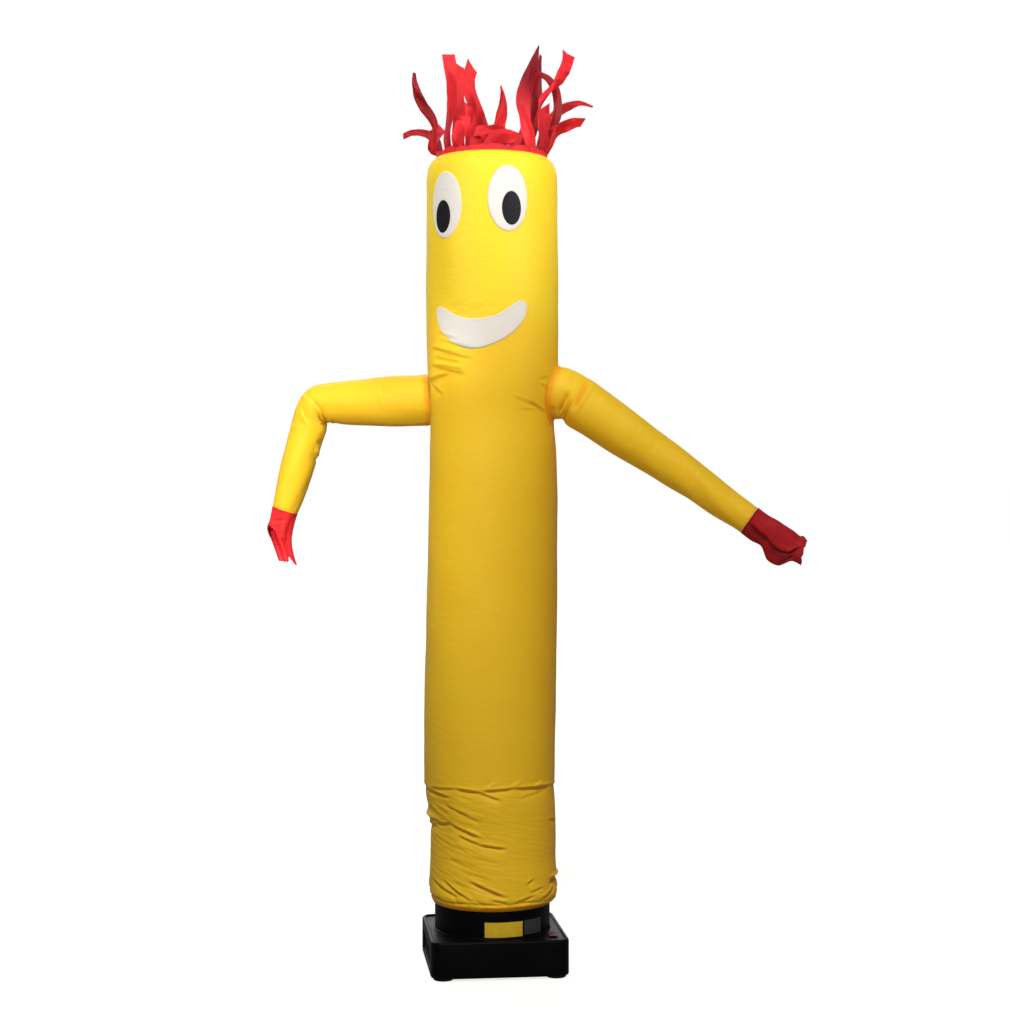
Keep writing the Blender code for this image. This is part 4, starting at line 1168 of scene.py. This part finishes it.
Strip = namedtuple(
    "Strip",
    "root_deg length width tip_width lean_root lean_low lean_high lean_tip lean_back twist"
    " shade_root shade_tip",
)
HAIR = table(
    Strip,
    (-170, 0.262, 0.031, 0.034, 18, -6, -23, 15, 7, -10, 0.9, 0.45),
    (-156, 0.16, 0.034, 0.034, -2, 0, -6, -12, 9, -24, 0.9, 0.6),
    (-138, 0.242, 0.032, 0.022, 2, 2, 2, 4, 4, -30, 0.7, 0.5),
    (-120, 0.151, 0.03, 0.014, -6, -22, -78, -114, 8, -50, 1.3, 1.3),
    (-104, 0.07, 0.034, 0.024, -20, -18, -12, -5, 2, 50, 0.9, 0.6),
    (-88, 0.21, 0.038, 0.008, 4, -6, -38, 0, -1, 60, 0.8, 1.4),
    (-72, 0.056, 0.032, 0.028, 4, 6, 10, 12, -4, 30, 1.2, 0.8),
    (-50, 0.228, 0.032, 0.031, -6, 12, -6, -9, 3, 45, 1, 0.1),
    (-34, 0.07, 0.034, 0.03, 4, 8, 10, 12, -8, 20, 0.5, 0.3),
    (-18, 0.125, 0.028, 0.02, 8, 58, 96, 104, 16, 20, 0.8, 0.6),
    (-1, 0.075, 0.034, 0.028, 10, 58, 100, 118, -16, 0, 0.6, 0.4),
    (20, 0.095, 0.034, 0.026, -10, -56, -80, -92, -2, -20, 0.8, 0.6),
    (46, 0.25, 0.042, 0.003, 0, -13, 15, 17, 2, -44, 0.15, 1.9),
    (66, 0.105, 0.032, 0.024, 0, 2, 4, 6, -4, -50, 1, 1),
    (80, 0.13, 0.034, 0.022, 16, 22, 66, 92, -3, -60, 0.6, 0.6),
    (94, 0.264, 0.03, 0.034, 0, -9, 38, 10, 0, -75, 0.9, 0.15),
    (107, 0.085, 0.03, 0.028, 20, 20, 24, 14, 3, 60, 0.9, 0.9),
    (120, 0.245, 0.028, 0.012, 22, 20, 4, -62, 3, 60, 1.3, 1.5),
    (133, 0.24, 0.034, 0.004, 34, 18, 50, 106, 6, 40, 1, 0.8),
    (146, 0.28, 0.03, 0.006, 14, 16, 4, 8, 6, 34, 1.4, 1.8),
    (160, 0.2, 0.032, 0.028, 20, 24, 20, 6, 6, 20, 0.8, 0.6),
    (175, 0.2, 0.031, 0.003, 2, 4, 10, -10, 2, 6, 0.5, 0.7),
)


def strip_frames(strip):
    """Middle, width direction and face direction at each step up a strip."""
    angle = math.radians(strip.root_deg)
    place = np.array([HAIR_RADIUS * math.sin(angle), -HAIR_RADIUS * math.cos(angle), HAIR_BAND_TOP])
    leans = (strip.lean_root, strip.lean_low, strip.lean_high, strip.lean_tip)
    back = math.radians(strip.lean_back)
    along, flat = np.array([0.0, 0.0, 1.0]), np.array([1.0, 0.0, 0.0])
    frames = []
    for step in range(HAIR_STEPS + 1):
        share = step / HAIR_STEPS
        if step:
            lean = math.radians(float(eased(range(4), leans, 3 * share)))
            flat = np.array([math.cos(lean), 0.0, -math.sin(lean)])
            along = np.array([math.sin(lean), math.sin(back), math.cos(lean)])
            along /= np.linalg.norm(along)
            place = place + along * strip.length / HAIR_STEPS
        turned = angle + math.radians(strip.twist) * share
        across = flat * math.cos(turned) + np.cross(along, flat) * math.sin(turned)
        frames.append((place, across, np.cross(across, along)))
    return frames


def flowing(values):
    """A smooth run of points through a few."""
    values = np.asarray(values, float)
    padded = np.array([2 * values[0] - values[1], *values, 2 * values[-1] - values[-2]])
    at = np.linspace(0, len(values) - 1, (len(values) - 1) * HAIR_FINE + 1)
    row = np.minimum(at.astype(int), len(values) - 2)
    t = (at - row)[:, None]
    a, b, c, d = (padded[row + step] for step in range(4))
    bend, turn = 2 * a - 5 * b + 4 * c - d, 3 * b - a - 3 * c + d
    return 0.5 * (2 * b + (c - a) * t + bend * t**2 + turn * t**3)


def cut_strip(number, strip):
    dice = np.random.default_rng(100 + number)
    middles, across, face = (flowing(values) for values in zip(*strip_frames(strip)))
    across /= np.linalg.norm(across, axis=1, keepdims=True)
    face /= np.linalg.norm(face, axis=1, keepdims=True)
    up = np.linspace(0, 1, len(middles))[:, None]
    full, tip = strip.width, strip.tip_width
    widths = eased([0, 0.15, 0.6, 1.0], [full * 0.9, full, full * 0.9 + tip * 0.1, tip], up)
    spread = np.linspace(-1, 1, 9)[None, :]
    ridge = dice.choice([-0.5, -0.25, 0.25, 0.5])
    pinch = dice.choice([-1, 1]) * dice.uniform(0.15, 0.45)
    folded = pinch * np.abs(spread - ridge) * np.sin(math.pi * unit(up * 1.2)) ** 0.5
    pace, start = strip.length * dice.uniform(8, 14), dice.uniform(0, 1)
    zigzag = np.abs((up * pace + spread * dice.uniform(0.2, 0.5) + start) % 1.0 - 0.5) - 0.25
    creased = dice.uniform(0.5, 0.8) * zigzag * unit(up * 3)
    lift = (folded + creased) * np.minimum(widths, 0.03)
    nick = 1 - 0.05 * np.abs(np.sin(dice.uniform(9, 15) * up + dice.uniform(0, 6)))
    aside = spread * nick * widths / 2
    points = middles[:, None] + across[:, None] * aside[..., None] + face[:, None] * lift[..., None]
    points += np.array([*TUBE_AXIS, 0.0])
    slant = dice.uniform(-0.5, 0.5) * tip
    along = middles[-1] - middles[-2]
    along /= np.linalg.norm(along)
    points += along * (unit((up - 0.8) / 0.2) ** 2 * slant * spread)[..., None]
    weave = points_of(spread * widths / 2, up * strip.length)
    # Painted light and shade: each strip is painted lighter or darker from root to tip, with painted
    # shade in its creases and near the root.
    shade = strip.shade_root + (strip.shade_tip - strip.shade_root) * eased([0.25, 0.75], [0, 1], up)
    depth = 0.5 * unit(creased * 3) + 0.4 * (1 - up) ** 2 + shade
    name, stands_for = f"hair_strip_{number:02d}", [f"hair_{number:02d}"]
    mesh = facing_out(cloth(name, points, depth, weave, wall=0.0008, closed=False))
    return fit(name, mesh, red_nylon, stands_for=stands_for, sharp_deg=24)


band_turns = round_turns(240, -180)[None, :]
band_round = np.radians(band_turns)
band_heights = np.linspace(HAIR_BAND_LOW, HAIR_BAND_TOP + 0.0015, 14)[:, None]
band_rise = unit((band_heights - 1.94) / 0.012)
pleats = (1.934, 0.03, 0.0012, 0.0035, HAIR_RADIUS)
band_wave = gathered_by(81, 64, band_turns, band_heights, *pleats)
band_flap = 0.0016 * np.sin(13 * band_round) + 0.0014 * np.sin(31 * band_round + 1)
band_reach = HAIR_RADIUS + 0.0005 - np.clip(band_wave, -0.0009, 0.0006) + band_flap * band_rise
band_edge = band_heights + 0.0020 * np.sin(9 * band_round + 2) * band_rise
band_points = round_axis(band_turns, band_reach, band_edge)
band_weave = round_weave(240, HAIR_RADIUS, band_heights, -180)
# Painted shade in the band's pleats and over its top edge under the strips.
band_painted_shade = unit(band_wave / 0.001) + 0.5 * band_rise
band_mesh = cloth("hair_root", band_points, band_painted_shade, band_weave, wall=0.0008)
hair_root = fit("hair_root", facing_out(band_mesh), red_nylon, stands_for=["hair_band"])
red_thread = thread("red_thread", (0.50, 0.008, 0.012), (0.30, 0.003, 0.006))
band_row = round_axis(seam_turns, HAIR_RADIUS + 0.0008, 1.943)
root_stitches = stitched("hair_root_stitches", [(band_row, True)], red_thread)
for number, strip in enumerate(HAIR, start=1):
    wide, long = strip.width * 1.02, strip.length
    area = long * (0.6 * strip.width + 0.4 * (strip.width + strip.tip_width) / 2)
    area = min(1.0, max(0.3, area / (wide * long))) * wide * long
    piece = cut_strip(number, strip)

# ---- Face ----
# The eyes and the smile are cut from white nylon and the pupils from black, laid on the tube and
# sewn down round their edges, so that they follow its round and its folds.
PATCH = 0.0007
ON_TUBE = 0.0006
ON_EYE = 0.0016
Oval = namedtuple("Oval", "middle_deg middle_height half_deg half_height off")
EYES = {
    "eye_left": Oval(-43.3, 1.813, 17.3, 0.0785, ON_TUBE),
    "eye_right": Oval(14.2, 1.823, 17.4, 0.0773, ON_TUBE),
}
PUPILS = {
    "pupil_left": Oval(-45.6, 1.786, 8.5, 0.0387, ON_EYE),
    "pupil_right": Oval(17.0, 1.800, 8.3, 0.0398, ON_EYE),
}
Smile = namedtuple("Smile", "deg low top")
SMILE = table(
    Smile,
    (-54.5, 1.559, 1.565),
    (-53, 1.544, 1.5725),
    (-50, 1.525, 1.5745),
    (-46, 1.512, 1.5715),
    (-40, 1.497, 1.5625),
    (-34, 1.485, 1.5535),
    (-27, 1.4765, 1.547),
    (-17, 1.4715, 1.5415),
    (-8, 1.474, 1.542),
    (1, 1.4825, 1.5475),
    (9, 1.493, 1.5575),
    (15, 1.504, 1.569),
    (20.5, 1.517, 1.579),
    (25.5, 1.5335, 1.5845),
    (28.8, 1.548, 1.583),
    (30.8, 1.565, 1.573),
)
white_nylon = nylon("white_nylon", (0.70, 0.65, 0.595), (0.54, 0.46, 0.36), gloss=0.5, shine=0.2)
black_nylon = nylon("black_nylon", (0.006, 0.006, 0.008), (0.02, 0.02, 0.024), shine=0.14)
white_thread = thread("white_thread", (0.70, 0.66, 0.60), (0.52, 0.47, 0.40))
black_thread = thread("black_thread", (0.015, 0.015, 0.017), (0.03, 0.03, 0.032))


def cut_patch(name, places, off, edge, closed):
    """A patch's mesh over degrees and heights on the tube, turned down at its edge."""
    points, fold = tube_point(*places, off + PATCH - 0.0003 * edge)
    weave = points_of(np.radians(places[0]) * TUBE_GIRTH, places[1])
    if closed:
        weave = np.concatenate([weave, weave[:, :1]], 1)
    # Painted shade in the tube's creases and at the patch's turned-down edge.
    return cloth(name, points, unit(0.4 * fold + 0.35 * edge), weave, wall=PATCH, closed=closed)


def oval_ring(oval, share, turns):
    """Degrees round the tube and height on an oval's ring."""
    degrees = oval.middle_deg + oval.half_deg * share * np.sin(turns)
    return degrees, oval.middle_height + oval.half_height * share * np.cos(turns)


def cut_oval(name, oval, material, yarn):
    share = np.linspace(1, 0, 22)[:, None]
    places = oval_ring(oval, share, np.radians(round_turns(96))[None, :])
    mesh = cut_patch(name, places, oval.off, hump(share - 0.955, 0.02), closed=True)
    piece = fit(name, facing_out(outward(mesh, POLE)), material, stands_for=[name[4:]])
    ring = oval_ring(oval, 0.945, np.radians(round_turns(160)))
    row = tube_point(*ring, oval.off + PATCH + 0.0001)[0]
    stitched(f"{name}_stitches", [(row, True)], yarn)


for name, oval in EYES.items():
    cut_oval(f"cut_{name}", oval, white_nylon, white_thread)
for name, oval in PUPILS.items():
    cut_oval(f"cut_{name}", oval, black_nylon, black_thread)


def on_mouth(share, level):
    """Degrees round the tube and height on the smile, from tip to tip and lower edge to upper."""
    places, low, top = zip(*SMILE)
    degrees = places[0] + (places[-1] - places[0]) * (share + 1) / 2 + 0 * level
    lower, upper = eased(places, low, degrees), eased(places, top, degrees)
    return degrees, lower + (upper - lower) * level


mouth_share = np.sin(np.linspace(-math.pi / 2, math.pi / 2, 130))[None, :]
mouth_level = np.linspace(0, 1, 18)[:, None]
from_lips = np.minimum(mouth_level, 1 - mouth_level) * 0.07
mouth_rim = np.minimum(from_lips, (1 - np.abs(mouth_share)) * 0.12)
mouth_edge = hump(mouth_rim - 0.003, 0.0018)
mouth_places = on_mouth(mouth_share, mouth_level)
mouth_mesh = cut_patch("smile", mouth_places, ON_TUBE, mouth_edge, closed=False)
smile = fit("smile", facing_out(mouth_mesh), white_nylon, stands_for=["mouth"])
inset = np.linspace(-0.965, 0.965, 180)
around_smile = [(share, 0.045) for share in inset] + [(share, 0.955) for share in inset[::-1]]
smile_row = tube_point(*on_mouth(*np.array(around_smile).T), ON_TUBE + 0.0001 + PATCH)[0]
smile_stitches = stitched("smile_stitches", [(smile_row, True)], white_thread)
